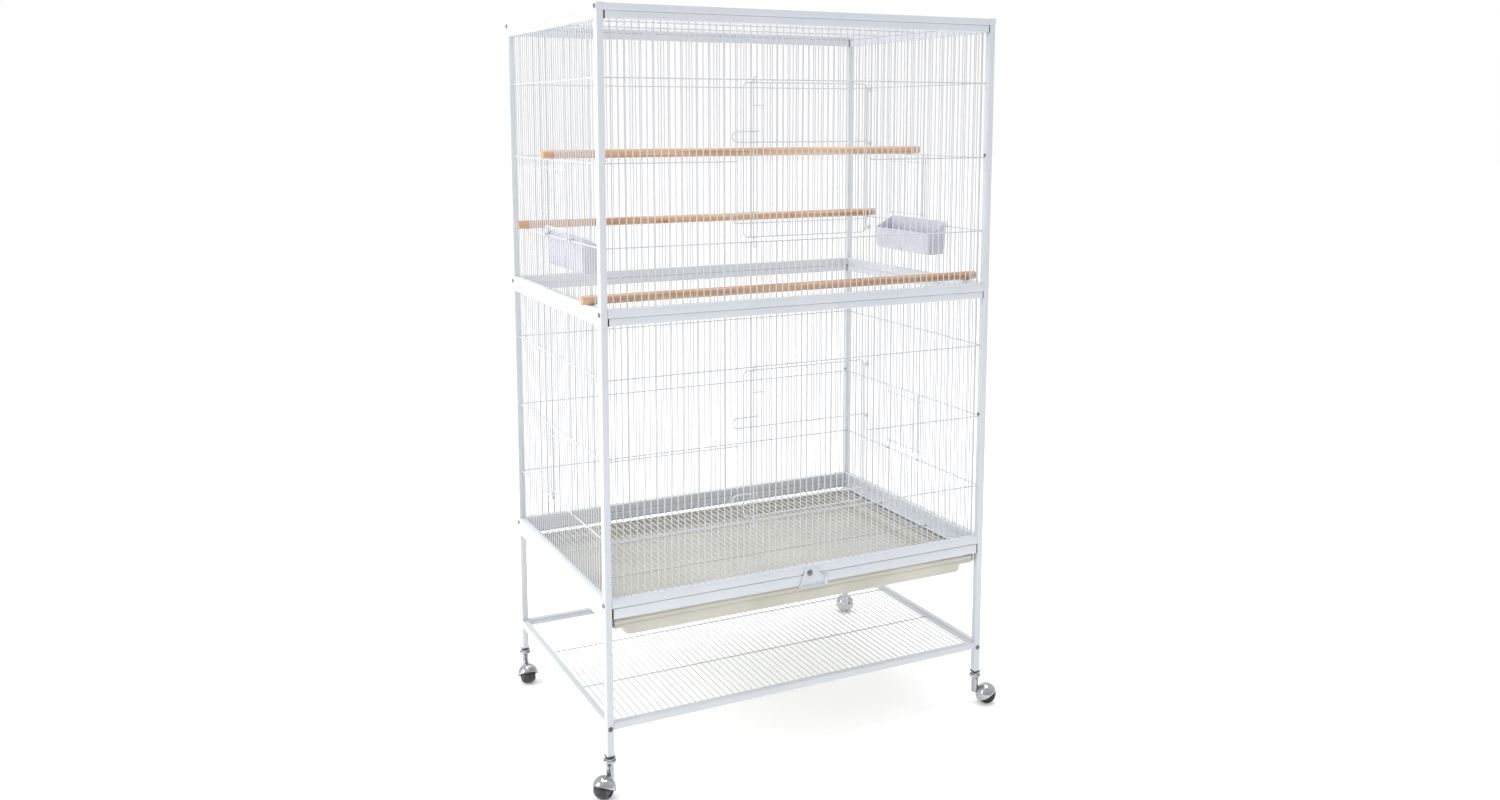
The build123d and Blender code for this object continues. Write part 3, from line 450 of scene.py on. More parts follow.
def screw_tree():
    """A domed cross-head screw on every vertex of the carrier, turned to the vertex's outward vector."""
    arm_half, arm_reach, recess_depth = 0.09, 0.55, 0.45
    tree, start, end = new_tree("domed screws", [
        ("Head radius", "NodeSocketFloat"), ("Head height", "NodeSocketFloat"),
        ("Finish", "NodeSocketMaterial")])
    radius, height = start.outputs["Head radius"], start.outputs["Head height"]
    ball = add_node(tree, "GeometryNodeMeshUVSphere", {"Segments": 24, "Rings": 16, "Radius": 1.0})
    where = add_node(tree, "GeometryNodeInputPosition")
    x, y, z = add_node(tree, "ShaderNodeSeparateXYZ", {0: where.outputs[0]}).outputs
    across = math_node(tree, "ABSOLUTE", x)
    along = math_node(tree, "ABSOLUTE", y)
    in_arm = math_node(tree, "LESS_THAN", math_node(tree, "MINIMUM", across, along), arm_half)
    in_reach = math_node(tree, "LESS_THAN", math_node(tree, "MAXIMUM", across, along), arm_reach)
    recess = math_node(tree, "MULTIPLY", in_arm, in_reach)
    depth = math_node(tree, "MULTIPLY", recess, recess_depth)
    sunk = math_node(tree, "SUBTRACT", math_node(tree, "MAXIMUM", z), depth)
    spot = add_node(tree, "ShaderNodeCombineXYZ", {
        0: math_node(tree, "MULTIPLY", x, radius), 1: math_node(tree, "MULTIPLY", y, radius),
        2: math_node(tree, "MULTIPLY", sunk, height)})
    head = add_node(tree, "GeometryNodeSetPosition",
                    {"Geometry": ball.outputs["Mesh"], "Position": spot.outputs[0]})
    smooth = smooth_sides(tree, head.outputs[0])
    outward = add_node(tree, "GeometryNodeInputNamedAttribute", {"Name": "outward"}, data_type="FLOAT_VECTOR")
    turn = add_node(tree, "FunctionNodeAlignRotationToVector", {"Vector": outward.outputs[0]}, axis="Z")
    copies = add_node(tree, "GeometryNodeInstanceOnPoints",
                      {"Points": start.outputs["Geometry"], "Instance": smooth, "Rotation": turn.outputs[0]})
    close_tree(tree, end, copies.outputs[0], start.outputs["Finish"])
    return tree


ROW = wire_row_tree()
SCREWS = screw_tree()


def grow(tree, values, carrier=None):
    """The plain mesh that a tree makes on a carrier with the given named inputs."""
    host = new_object("carrier", carrier or bpy.data.meshes.new("carrier"))
    modifier = host.modifiers.new("grow", "NODES")
    modifier.node_group = tree
    for item in tree.interface.items_tree:
        if item.in_out == "INPUT" and item.name in values:
            value = values[item.name]
            modifier[item.identifier] = tuple(value) if isinstance(value, Vector) else value
    mesh = settled_mesh(host)
    host.modifiers.remove(modifier)
    bpy.data.objects.remove(host)
    return mesh


def add_row(builder, count, first, step, run, radius):
    """Add a row of straight wires to a bmesh."""
    if count < 1:
        return
    pour(builder, grow(ROW, {"Count": count, "First": first, "Step": step, "Run": run, "Radius": radius,
                             "Sides": WIRE_SIDES, "Finish": FINISH["painted_wire"]}))


# ---- wire fields

def add_field(builder, at, uprights, levels, across, rise, weld, opening=None):
    """Welded wires in one flat panel. at(u, w, n) gives a point: u across, w up, n towards the viewer.

    weld is (upright n, cross n); opening is (left, right, low, high) between two uprights and two crosses."""
    step = at(PITCH, 0, 0) - at(0, 0, 0)

    def upright_row(us, low, high):
        if us:
            run = at(0, high, 0) - at(0, low, 0)
            add_row(builder, len(us), at(us[0], low, weld[0]), step, run, UPRIGHT_R)

    def cross(level, left, right):
        run = at(right, 0, 0) - at(left, 0, 0)
        add_row(builder, 1, at(left, level, weld[1]), step, run, CROSS_R)

    if opening is None:
        upright_row(uprights, *rise)
        for level in levels:
            cross(level, *across)
        return
    left, right, low, high = opening
    slack = PITCH / 4
    upright_row([u for u in uprights if u < left + slack], *rise)
    upright_row([u for u in uprights if u > right - slack], *rise)
    within = [u for u in uprights if left + slack < u < right - slack]
    upright_row(within, rise[0], low)
    upright_row(within, high, rise[1])
    for level in levels:
        if low + slack < level < high - slack:
            cross(level, across[0], left)
            cross(level, right, across[1])
        else:
            cross(level, *across)


def front_uprights(reach):
    count = int((reach - 2 * UPRIGHT_R) / PITCH)
    return [PITCH * k for k in range(-count, count + 1)]


def side_uprights(reach):
    count = int((reach - 2 * UPRIGHT_R - PITCH / 2) / PITCH)
    return [PITCH * (k + 0.5) for k in range(-count - 1, count + 1)]


DOOR_LEFT_WIRE = -11 * PITCH
DOOR_RIGHT_WIRE = 10 * PITCH


def tier_levels(wires_node):
    """Cross wire heights of a tier, from the foot of its wires."""
    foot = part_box(wires_node)[0].z
    return [foot + FIRST_CROSS + CROSS_STEP * k for k in range(3)]


def small_door_guides(side):
    near, far = -6.5 * PITCH, 3.5 * PITCH
    return (near, far) if side == "left" else (-far, -near)


def build_panels():
    for tier in TIERS:
        for face, toward in (("front", -1), ("back", 1)):
            node = f"{tier}_{face}_wires"
            low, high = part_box(node)
            y = (low.y + high.y) / 2
            levels = tier_levels(node)
            opening = (DOOR_LEFT_WIRE, DOOR_RIGHT_WIRE, levels[0], levels[2]) if face == "front" else None
            builder = bmesh.new()
            add_field(builder, lambda u, w, n: Vector((u, y + toward * n, w)), front_uprights(high.x), levels,
                      (low.x, high.x), (low.z, high.z), (0, -WELD_DEPTH), opening)
            finish_piece(f"{node}_round", builder, [node])
        for side, toward in (("left", -1), ("right", 1)):
            node = f"{tier}_{side}_side_wires"
            low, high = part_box(node)
            x = (low.x + high.x) / 2
            levels = tier_levels(node)
            near, far = small_door_guides(side)
            builder = bmesh.new()
            add_field(builder, lambda u, w, n: Vector((x + toward * n, u, w)), side_uprights(high.y), levels,
                      (low.y, high.y), (low.z, high.z), (-WELD_DEPTH, 0), (near, far, levels[0], levels[1]))
            finish_piece(f"{node}_round", builder, [node])


def build_flat_grilles():
    """Top, shelf and floor grille: wires front to back over a few cross wires."""
    depth = cad_depth()
    crosses = {
        "top_wires": [-depth / 4, 0, depth / 4],
        "shelf_wires": [-depth / 6, depth / 6],
        "floor_grille": [-depth / 6, depth / 6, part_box("floor_grille")[1].y - 2 * CROSS_R],
    }
    for node, levels in crosses.items():
        low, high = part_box(node)
        z = (low.z + high.z) / 2
        under = WELD_DEPTH if node == "floor_grille" else -WELD_DEPTH
        builder = bmesh.new()
        add_field(builder, lambda u, w, n: Vector((u, w, z + n)), front_uprights(high.x), levels,
                  (low.x, high.x), (low.y, high.y), (0, under))
        finish_piece(f"{node}_round", builder, [node])


def cad_depth():
    low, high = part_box("shelf_frame")
    return high.y - low.y


# ---- front doors

DOOR_CORNER = 9.0 * MM
DOOR_LEFT_GAP, DOOR_RIGHT_GAP = 11.7 * MM, 8 * MM
DOOR_FOOT_GAP, DOOR_HEAD_GAP = 9 * MM, 5 * MM
HANDLE_LEVELS = (24.5 * MM, 163.5 * MM)
HANDLE_RISE = 18.5 * MM
HANDLE_OUT, HANDLE_BACK = 22 * MM, 28 * MM
# Coil radius, wire radius, turns and height of each coil.
HINGE_COIL = (2.2 * MM, 0.75 * MM, 5, 7.4 * MM)
LATCH_EYE = (2.1 * MM, 0.7 * MM, 3, 3.4 * MM)
LATCH_R = 1.2 * MM
LATCH_HOOK = 7.8 * MM
THUMB_DROP, THUMB_REACH = 39 * MM, 19 * MM


def rounded_rectangle(low, high, at, radius, steps=6):
    """Closed loop of points on a rounded rectangle in a panel plane."""
    points = []
    corners = [(high[0], high[1], 0), (low[0], high[1], 90), (low[0], low[1], 180), (high[0], low[1], 270)]
    for u, w, start in corners:
        cu = u - math.copysign(radius, u - (low[0] + high[0]) / 2)
        cw = w - math.copysign(radius, w - (low[1] + high[1]) / 2)
        for k in range(steps + 1):
            a = math.radians(start + 90 * k / steps)
            points.append(at(cu + radius * math.cos(a), cw + radius * math.sin(a)))
    return points


def build_front_doors():
    for tier in TIERS:
        node = f"{tier}_front_door"
        levels = tier_levels(f"{tier}_front_wires")
        low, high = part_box(f"{tier}_front_wires")
        panel_y = (low.y + high.y) / 2
        foot, head = levels[0] + DOOR_FOOT_GAP, levels[2] - DOOR_HEAD_GAP
        left, right = DOOR_LEFT_WIRE + DOOR_LEFT_GAP, DOOR_RIGHT_WIRE - DOOR_RIGHT_GAP

        def at(u, w, n=0.0):
            return Vector((u, panel_y - n, w))

        builder = bmesh.new()
        outline = rounded_rectangle((left, foot), (right, head), at, DOOR_CORNER)
        add_wire(builder, outline, CROSS_R, closed=True)
        uprights = [u for u in front_uprights(high.x) if left + PITCH / 2 < u < right - 2 * UPRIGHT_R]
        add_row(builder, len(uprights), at(uprights[0], foot), X * PITCH, Z * (head - foot), UPRIGHT_R)
        pull = 2 * CROSS_R
        for rise in HANDLE_LEVELS:
            level = foot + rise
            tip = left - HANDLE_OUT
            points = [at(right, level, pull), at(tip, level, pull), at(tip, level + HANDLE_RISE, pull),
                      at(left + HANDLE_BACK, level + HANDLE_RISE, pull)]
            add_wire(builder, bend_points(points, HANDLE_RISE / 2 * 0.96, 9), CROSS_R)
        rod_low, rod_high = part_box(f"{tier}_door_latch")
        rod_x = rod_low.x + CROSS_R
        rod_n = panel_y - (rod_low.y + rod_high.y) / 2
        for level in (foot, head):
            add_coil(builder, at(rod_x, level, rod_n), Z, *LATCH_EYE)
            add_wire(builder, [at(rod_x, level, 0), at(rod_x, level, rod_n - 1.8 * MM)], 0.9 * MM)
        for level in (foot + 9 * MM, (foot + head) / 2 + 27 * MM, head - 9 * MM):
            add_coil(builder, at(DOOR_RIGHT_WIRE, level), Z, *HINGE_COIL)
            add_wire(builder, [at(right, level), at(DOOR_RIGHT_WIRE - 1.9 * MM, level)], 1.0 * MM)
        finish_piece(f"{node}_round", builder, [node])
        build_latch_rod(tier, at, head, rod_x, rod_n)


def build_latch_rod(tier, at, head, rod_x, rod_n):
    """The sliding rod: a hook at each end and a thumb tab."""
    node = f"{tier}_door_latch"
    low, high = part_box(node)
    far = rod_x + 6 * MM
    bottom, top = low.z + LATCH_R, high.z - LATCH_R
    points = [at(far, bottom + LATCH_HOOK, rod_n), at(far, bottom, rod_n), at(rod_x, bottom, rod_n),
              at(rod_x, top, rod_n), at(far, top, rod_n), at(far, top - LATCH_HOOK, rod_n)]
    builder = bmesh.new()
    add_wire(builder, bend_points(points, 3 * MM, 6), LATCH_R)
    thumb, tip = head - THUMB_DROP, rod_x + THUMB_REACH
    tab = [at(rod_x, thumb, rod_n), at(tip, thumb, rod_n), at(tip, thumb - 4 * MM, rod_n)]
    add_wire(builder, bend_points(tab, 1.5 * MM), 1.05 * MM)
    finish_piece(f"{node}_round", builder, [node])


# ---- small side doors

FLAP_RISE = 17 * MM
FLAP_HEIGHT = 106.5 * MM
FLAP_TAIL, FLAP_TIP = 6.5 * MM, 13 * MM
FLAP_COIL = (2.45 * MM, 0.8 * MM, 3, 2.4 * MM)


def build_small_doors():
    for tier in TIERS:
        for side, toward in (("left", -1), ("right", 1)):
            node = f"{tier}_{side}_small_door"
            wires = f"{tier}_{side}_side_wires"
            low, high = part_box(wires)
            panel_x = (low.x + high.x) / 2
            hinge = tier_levels(wires)[0]
            near, far = small_door_guides(side)
            out = UPRIGHT_R + CROSS_R + 0.3 * MM
            foot = hinge + FLAP_RISE
            head = foot + FLAP_HEIGHT

            def at(u, w, n=0.0):
                return Vector((panel_x + toward * n, u, w))

            builder = bmesh.new()
            inside = [u for u in side_uprights(high.y) if near - PITCH / 4 < u < far + PITCH / 4]
            add_row(builder, len(inside), at(inside[0], foot - FLAP_TAIL, out), Y * PITCH,
                    Z * (FLAP_TAIL + FLAP_HEIGHT + FLAP_TIP), UPRIGHT_R)
            width = far - near + 2 * UPRIGHT_R
            for level in (foot, head):
                add_row(builder, 1, at(near - UPRIGHT_R, level, out), Y * PITCH, Y * width, UPRIGHT_R)
            for y in (near + PITCH / 2, far - PITCH / 2):
                add_wire(builder, [at(y, foot, out), at(y, hinge + 2.0 * MM, out)], UPRIGHT_R)
                add_coil(builder, at(y, hinge), Y, *FLAP_COIL)
            finish_piece(f"{node}_round", builder, [node])


# ---- square tubes

def tube_section(half_a, half_b, radius, steps=4):
    """Points round a rounded rectangle section, anticlockwise."""
    points = []
    for sa, sb, start in ((1, 1, 0), (-1, 1, 90), (-1, -1, 180), (1, -1, 270)):
        for k in range(steps + 1):
            a = math.radians(start + 90 * k / steps)
            points.append((sa * (half_a - radius) + radius * math.cos(a),
                           sb * (half_b - radius) + radius * math.sin(a)))
    return points


def add_square_tube(builder, low, high):
    """An open-ended tube with rounded long edges that fills a box and runs along its longest side."""
    size = high - low
    axis = max(range(3), key=lambda k: size[k])
    a, b = [k for k in range(3) if k != axis]
    middle = (low + high) / 2
    outer = tube_section(size[a] / 2, size[b] / 2, TUBE_EDGE)
    inner = tube_section(size[a] / 2 - TUBE_WALL, size[b] / 2 - TUBE_WALL, TUBE_EDGE - TUBE_WALL)

    def ring(section, end):
        points = []
        for u, w in section:
            p = Vector((0, 0, 0))
            p[axis] = end
            p[a] = middle[a] + u
            p[b] = middle[b] + w
            points.append(p)
        return points

    first, last = low[axis], high[axis]
    rings = [ring(outer, first), ring(outer, last), ring(inner, last), ring(inner, first)]
    skin_rings(builder, rings, endless=True)


def frame_tubes():
    """(low, high) boxes of the square tubes that make each frame node."""
    leg_low, leg_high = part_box("leg_front_left")
    tube = leg_high.x - leg_low.x
    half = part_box("shelf_frame")[1]
    in_x, in_y = half.x - tube, half.y - tube
    tubes = {f"leg_{corner}": [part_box(f"leg_{corner}")] for corner in CORNERS}

    def space(xs, ys, bottom, top):
        return Vector((xs[0], ys[0], bottom)), Vector((xs[1], ys[1], top))

    def edge_x(side):
        return sorted((side * in_x, side * half.x))

    def edge_y(side):
        return sorted((side * in_y, side * half.y))

    def along_x(side, bottom, top):
        return space((-in_x, in_x), edge_y(side), bottom, top)

    def along_y(side, bottom, top, reach=in_y):
        return space(edge_x(side), (-reach, reach), bottom, top)

    def post(side, end, bottom, top):
        return space(edge_x(side), edge_y(end), bottom, top)

    low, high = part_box("shelf_frame")
    tubes["shelf_frame"] = [rail(s, low.z, high.z) for rail in (along_x, along_y) for s in (-1, 1)]
    low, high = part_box("base_frame")
    tubes["base_frame"] = [along_x(1, low.z, high.z)] + [along_y(s, low.z, high.z) for s in (-1, 1)]
    low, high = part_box("top_frame")
    tubes["top_frame"] = [along_x(s, low.z, high.z) for s in (-1, 1)]
    tubes["top_frame"] += [along_y(s, low.z, high.z, half.y) for s in (-1, 1)]
    for tier in TIERS:
        for name, s in (("left", -1), ("right", 1)):
            node = f"{tier}_{name}_side_frame"
            low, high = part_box(node)
            tubes[node] = [post(s, end, low.z, high.z) for end in (-1, 1)]
            tubes[node] += [along_y(s, low.z, low.z + LOW_RAIL), along_y(s, high.z - tube, high.z)]
        for name, s in (("front", -1), ("back", 1)):
            node = f"{tier}_{name}_rails"
            low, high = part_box(node)
            short = along_x(s, high.z - tube, high.z)
            short[0].x += CAP
            short[1].x -= CAP
            tubes[node] = [along_x(s, low.z, low.z + LOW_RAIL), short]
    return tubes


def build_tubes():
    """Every frame member as a rounded open square tube; the top frame's side tubes get their end plugs."""
    for node, boxes in frame_tubes().items():
        builder = bmesh.new()
        for low, high in boxes:
            add_square_tube(builder, low, high)
        if node == "top_frame":
            for low, high in boxes[2:]:
                middle = (low + high) / 2
                half = (high.x - low.x) / 2 - TUBE_WALL
                for y in (low.y + TUBE_WALL, high.y - TUBE_WALL):
                    corner = Vector((half, TUBE_WALL, half))
                    place = Vector((middle.x, y, middle.z))
                    add_soft_block(builder, place - corner, place + corner, 0.5 * MM)
        finish_piece(f"{node}_tube", builder, [node], 30.0)


def block_mesh(middle, size, edge=0.0):
    """A block, with bevelled edges where asked."""
    builder = bmesh.new()
    bmesh.ops.create_cube(builder, size=1.0)
    bmesh.ops.scale(builder, vec=size, verts=builder.verts)
    bmesh.ops.translate(builder, vec=middle, verts=builder.verts)
    if edge:
        bmesh.ops.bevel(builder, geom=builder.edges[:], offset=edge, segments=2, profile=0.5, affect="EDGES")
    return to_mesh("block", builder)


def add_soft_block(builder, low, high, edge):
    pour(builder, block_mesh((low + high) / 2, high - low, edge))


def softened_copy(node, width):
    """A merged copy of a CAD node's mesh with its edges rounded."""
    builder = bmesh.new()
    builder.from_mesh(frame["nodes"][node].data)
    bmesh.ops.remove_doubles(builder, verts=builder.verts, dist=1e-6)
    bmesh.ops.dissolve_limit(builder, angle_limit=math.radians(2), verts=builder.verts, edges=builder.edges)
    helper = new_object("helper", to_mesh(f"{node}_soft", builder))
    bevel = helper.modifiers.new("round edges", "BEVEL")
    bevel.width = width
    bevel.segments = 2
    bevel.limit_method = "ANGLE"
    bevel.angle_limit = math.radians(30)
    rounded = settled_mesh(helper)
    bpy.data.objects.remove(helper)
    shade(rounded)
    return place_piece(f"{node}_soft", rounded, [node])


# ---- screws

def build_screws():
    """Domed cross-head screws: one head and one short shank for each CAD screw."""
    for node, sign in (("corner_screws", 1), ("panel_screws", -1)):
        spots, outward, reach = [], [], 0.0
        for low, high in islands(node):
            middle = (low + high) / 2
            axis = 1 if sign > 0 and high.y - low.y < high.x - low.x else 0
            toward = Vector((0, 0, 0))
            toward[axis] = sign * math.copysign(1.0, middle[axis])
            reach = (high.z - low.z) / 2
            spot = middle.copy()
            spot[axis] = (high if toward[axis] > 0 else low)[axis]
            spots.append(spot - toward * SCREW_HEAD)
            outward.append(toward)
        carrier = bpy.data.meshes.new("screw places")
        carrier.from_pydata(spots, [], [])
        attribute = carrier.attributes.new("outward", "FLOAT_VECTOR", "POINT")
        attribute.data.foreach_set("vector", [c for v in outward for c in v])
        sizes = {"Head radius": reach, "Head height": SCREW_HEAD, "Finish": FINISH["dark_screw"]}
        builder = bmesh.new()
        pour(builder, grow(SCREWS, sizes, carrier))
        for spot, toward in zip(spots, outward):
            add_wire(builder, [spot + toward * 0.2 * MM, spot - toward * 4.4 * MM], SCREW_SHANK_R, 16)
        finish_piece(f"{node}_domed", builder, [node])


def build_small_fittings():
    """The pressed turn latch, the bar with its ear, the end caps and the leg plugs, with rounded edges."""
    for node, edge in (("grille_latch", 0.35), ("grille_bar", 0.45), ("grille_bar_caps", 0.3),
                       ("rail_end_caps", 0.3), ("caster_plugs", 0.3)):
        softened_copy(node, edge * MM)


def build_latch_screw():
    """The turn latch's domed pivot screw with a cut slot."""
    low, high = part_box("latch_screw")
    middle = (low + high) / 2
    radius = (high.x - low.x) / 2
    base = low.y + SCREW_HEAD
    dome = [(1.0, 0.0), (1.0, 0.7), (0.96, 1.3), (0.84, 1.9), (0.62, 2.35), (0.35, 2.55)]

    def at(y):
        return Vector((middle.x, y, middle.z))

    builder = bmesh.new()
    skin_rings(builder, [circle(at(base - lift * MM), share * radius, X, Z, 32) for share, lift in dome])
    add_wire(builder, [at(base - 0.2 * MM), at(high.y)], SCREW_SHANK_R, 16)
    screw = finish_piece("latch_screw_domed", builder, ["latch_screw"])
    cut_slot(screw, at(base - 2.4 * MM), Vector((radius * 2.2, 1.6 * MM, 1.1 * MM)))


def cut_slot(piece, middle, size):
    """Cut a box-shaped slot out of a finished piece."""
    cutter = new_object("cutter", block_mesh(middle, size))
    cut = piece.modifiers.new("slot", "BOOLEAN")
    cut.object = cutter
    cut.operation = "DIFFERENCE"
    cut.solver = "EXACT"
    result = settled_mesh(piece)
    piece.modifiers.remove(cut)
    piece.data = result
    shade(result)
    bpy.data.objects.remove(cutter)


# ---- tray

def build_tray():
    """A formed tray: rolled rim with a pressed crease, a step and a deeper basin with soft corners."""
    low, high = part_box("tray")
    wall = 2.5 * MM
    rim_depth = 15 * MM
    step = 20.3 * MM
    top, lip, foot = high.z, high.z - rim_depth, low.z
    basin_low = Vector((low.x + step, low.y + wall / 2))
    basin_high = Vector((high.x - step, high.y - 2 * wall))

    def ring(a, b, inset, z, radius):
        middle = (a + b) / 2
        half = (b - a) / 2
        section = tube_section(half.x - inset, half.y - inset, radius, 6)
        return [Vector((middle.x + u, middle.y + w, z)) for u, w in section]

    def outer(inset, z, radius):
        return ring(low.xy, high.xy, inset, z, radius * MM)

    def basin(inset, z, radius):
        return ring(basin_low, basin_high, inset * MM, z, radius * MM)

    outside = [
        outer(wall, top - 0.4 * MM, 1.0), outer(wall * 0.8, top, 1.2), outer(wall * 0.25, top, 1.8),
        outer(0.0, top - 0.8 * MM, 2.0), outer(0.0, lip + 8.6 * MM, 2.0),
        outer(0.7 * MM, lip + 8.0 * MM, 1.8), outer(0.7 * MM, lip + 7.0 * MM, 1.8),
        outer(0.0, lip + 6.4 * MM, 2.0), outer(0.0, lip + 1.2 * MM, 2.0),
        outer(0.5 * MM, lip + 0.3 * MM, 1.6), outer(1.2 * MM, lip, 1.0), basin(0.2, lip, 14),
        basin(0.3, lip - 1.0 * MM, 14), basin(0.9, lip - 6.0 * MM, 14), basin(2.0, lip - 7.2 * MM, 13),
        basin(2.2, foot + 5.0 * MM, 13), basin(3.4, foot + 2.0 * MM, 12), basin(5.6, foot + 0.5 * MM, 10),
        basin(8.4, foot, 8),
    ]
    inside = [
        basin(8.4, foot + wall, 8), basin(6.6, foot + wall + 0.4 * MM, 9),
        basin(5.2, foot + wall + 1.8 * MM, 10), basin(4.6, foot + wall + 4.0 * MM, 11),
        basin(3.4, lip - 5.0 * MM, 12), basin(2.8, lip + wall - 0.8 * MM, 12), basin(2.2, lip + wall, 12),
        outer(wall + 1.2 * MM, lip + wall, 1.2), outer(wall, lip + wall + 1.0 * MM, 1.0),
    ]
    builder = bmesh.new()
    skin_rings(builder, inside + outside)
    finish_piece("tray_formed", builder, ["tray"], 50.0)


# ---- perches

def build_perches():
    """Turned dowels with a sawn slit in each end that grips a side wire."""
    edge, slit = 0.8 * MM, 2.8 * MM
    waviness = 0.012
    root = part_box("upper_right_side_wires")[0].x - 2 * MM
    for node in ("perch_front", "perch_middle", "perch_back"):
        low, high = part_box(node)
        middle = (low + high) / 2
        radius = (high.z - low.z) / 2
        length = high.x - low.x

        def ring(along, r):
            return circle(Vector((low.x + along, middle.y, middle.z)), r, Y, Z, 40)

        rings = [ring(0.0, radius - edge)]
        for s in [edge] + [length * k / 24 for k in range(1, 24)] + [length - edge]:
            wave = 0.5 + 0.5 * math.sin(s * 37.0 + middle.y * 90)
            rings.append(ring(s, radius * (1 - waviness * wave)))
        rings.append(ring(length, radius - edge))
        builder = bmesh.new()
        skin_rings(builder, rings)
        dowel = finish_piece(f"{node}_dowel", builder, [node])
        reach = high.x + 2 * MM - root
        for end in (-1, 1):
            place = Vector((end * (root + reach / 2), middle.y, middle.z))
            cut_slot(dowel, place, Vector((reach, slit, 3 * radius)))


# ---- seed cups

CUP_DEPTH = 46 * MM
CUP_LIP, CUP_BACK = 43 * MM, 67 * MM
CUP_WALL = 2.0 * MM
CUP_HOOKS = {"left": (-7, 4), "right": (-9, -4)}
HOOK_HALF = 3.5 * MM
HOOK_PLATE = 2.2 * MM
HOOK_DROP = 4.5 * MM
HOOK_SLACK = 0.3 * MM


def build_cups():
    """Moulded troughs: raised back, sloped ends, rolled rim, divider, and two hooks over a cross wire."""
    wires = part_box("upper_right_side_wires")
    wire_x = (wires[0].x + wires[1].x) / 2
    back = wire_x - 4.5 * MM
    front = back - CUP_DEPTH
    hook_x = wire_x + UPRIGHT_R + HOOK_SLACK
    bar = tier_levels("upper_right_side_wires")[0] + CROSS_R + HOOK_SLACK
    for side, toward in (("left", -1), ("right", 1)):
        node = f"seed_cup_{side}"
        low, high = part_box(node)
        middle_y = (low.y + high.y) / 2
        floor_z, lip, head = low.z, low.z + CUP_LIP, low.z + CUP_BACK

        def ring(inset, share, drop=0.0, taper=0.0, radius=6 * MM):
            points = []
            pull = inset + taper
            half_y = (high.y - low.y) / 2 - pull
            for u, w in tube_section(CUP_DEPTH / 2 - pull, half_y, max(radius - inset, 1.5 * MM), 5):
                x = (front + back) / 2 + u
                rim = lip + (head - lip) * min(max((x - front) / CUP_DEPTH, 0.0), 1.0)
                points.append(Vector((toward * x, middle_y + w, floor_z + share * (rim - floor_z) - drop)))
            return points

        def add_slab(x_low, z_low, x_high, z_high, y, half, edge):
            xs = sorted((toward * x_low, toward * x_high))
            add_soft_block(builder, Vector((xs[0], y - half, z_low)), Vector((xs[1], y + half, z_high)), edge)

        wall, skin = CUP_WALL, 0.7 * MM
        rings = [
            ring(wall, 0.0, -wall, 6 * MM), ring(wall, 0.0, -wall - 0.7 * MM, 3.2 * MM),
            ring(wall, 0.08, -wall, 1.8 * MM), ring(wall, 0.5, 0.0, 0.9 * MM), ring(wall, 1.0, 1.0 * MM),
            ring(wall * 0.7, 1.0, 0.2 * MM), ring(wall * 0.3, 1.0), ring(0.0, 1.0, 0.6 * MM),
            ring(0.0, 1.0, 3.2 * MM), ring(skin, 1.0, 3.6 * MM), ring(skin, 0.5, 0.0, 0.8 * MM),
            ring(skin, 0.06, 0.0, 1.8 * MM), ring(skin, 0.015, 0.0, 3.4 * MM), ring(skin, 0.0, 0.0, 6.5 * MM),
        ]
        builder = bmesh.new()
        skin_rings(builder, rings)
        outer_x = hook_x + HOOK_PLATE
        for steps in CUP_HOOKS[side]:
            y = PITCH * steps
            add_slab(back - 1.5 * MM, bar, outer_x, bar + HOOK_PLATE, y, HOOK_HALF, 0.4 * MM)
            add_slab(hook_x, bar - HOOK_DROP, outer_x, bar + 1.2 * MM, y, HOOK_HALF, 0.4 * MM)
        add_slab(front + 1.5 * MM, floor_z + 1.5 * MM, back - 1.5 * MM, lip - 5 * MM, middle_y,
                 0.8 * MM, 0.3 * MM)
        finish_piece(f"{node}_moulded", builder, [node], 45.0)


# ---- casters

def build_casters():
    """Hooded ball casters: black ball with a tread seam and dished sides, chrome hood swept into its neck, and a
    domed axle end.
    """
    joints = {joint["name"]: joint for joint in frame["joints"]}
    for corner in CORNERS:
        roll = joints[f"caster_roll_{corner}"]
        swivel = joints[f"caster_swivel_{corner}"]
        hub = Vector(roll["pos_m"])
        axle = Vector(roll["axis"]).normalized()
        stem = Vector(swivel["pos_m"])
        build_ball(corner, hub, axle)
        build_hood(corner, hub, axle, stem)


def build_ball(corner, hub, axle):
    """A truncated ball turned on a lathe, with a tread seam and dished sides."""
    radius = hub.z
    half = 13 * MM
    bore = 2.01 * MM
    side, up = cross_axes(axle)
    profile = []
    end = math.asin(half / radius)
    steps = 22
    for k in range(steps + 1):
        a = -end + 2 * end * k / steps
        seam = 0.35 * MM if k == steps // 2 else 0.0
        profile.append((radius * math.sin(a), radius * math.cos(a) - seam))
    rim = radius * math.cos(end)
    profile += [(half, rim - 1.2 * MM), (half - 1.6 * MM, rim - 2.4 * MM), (half - 2.0 * MM, 5.2 * MM),
                (half - 0.6 * MM, 4.4 * MM), (half - 0.4 * MM, bore)]
    profile += [(-s, r) for s, r in profile[:-6:-1]]
    builder = bmesh.new()
    skin_rings(builder, [circle(hub + axle * s, r, side, up, 48) for s, r in profile], endless=True)
    finish_piece(f"caster_wheel_{corner}_ball", builder, [f"caster_wheel_{corner}"], 35.0)


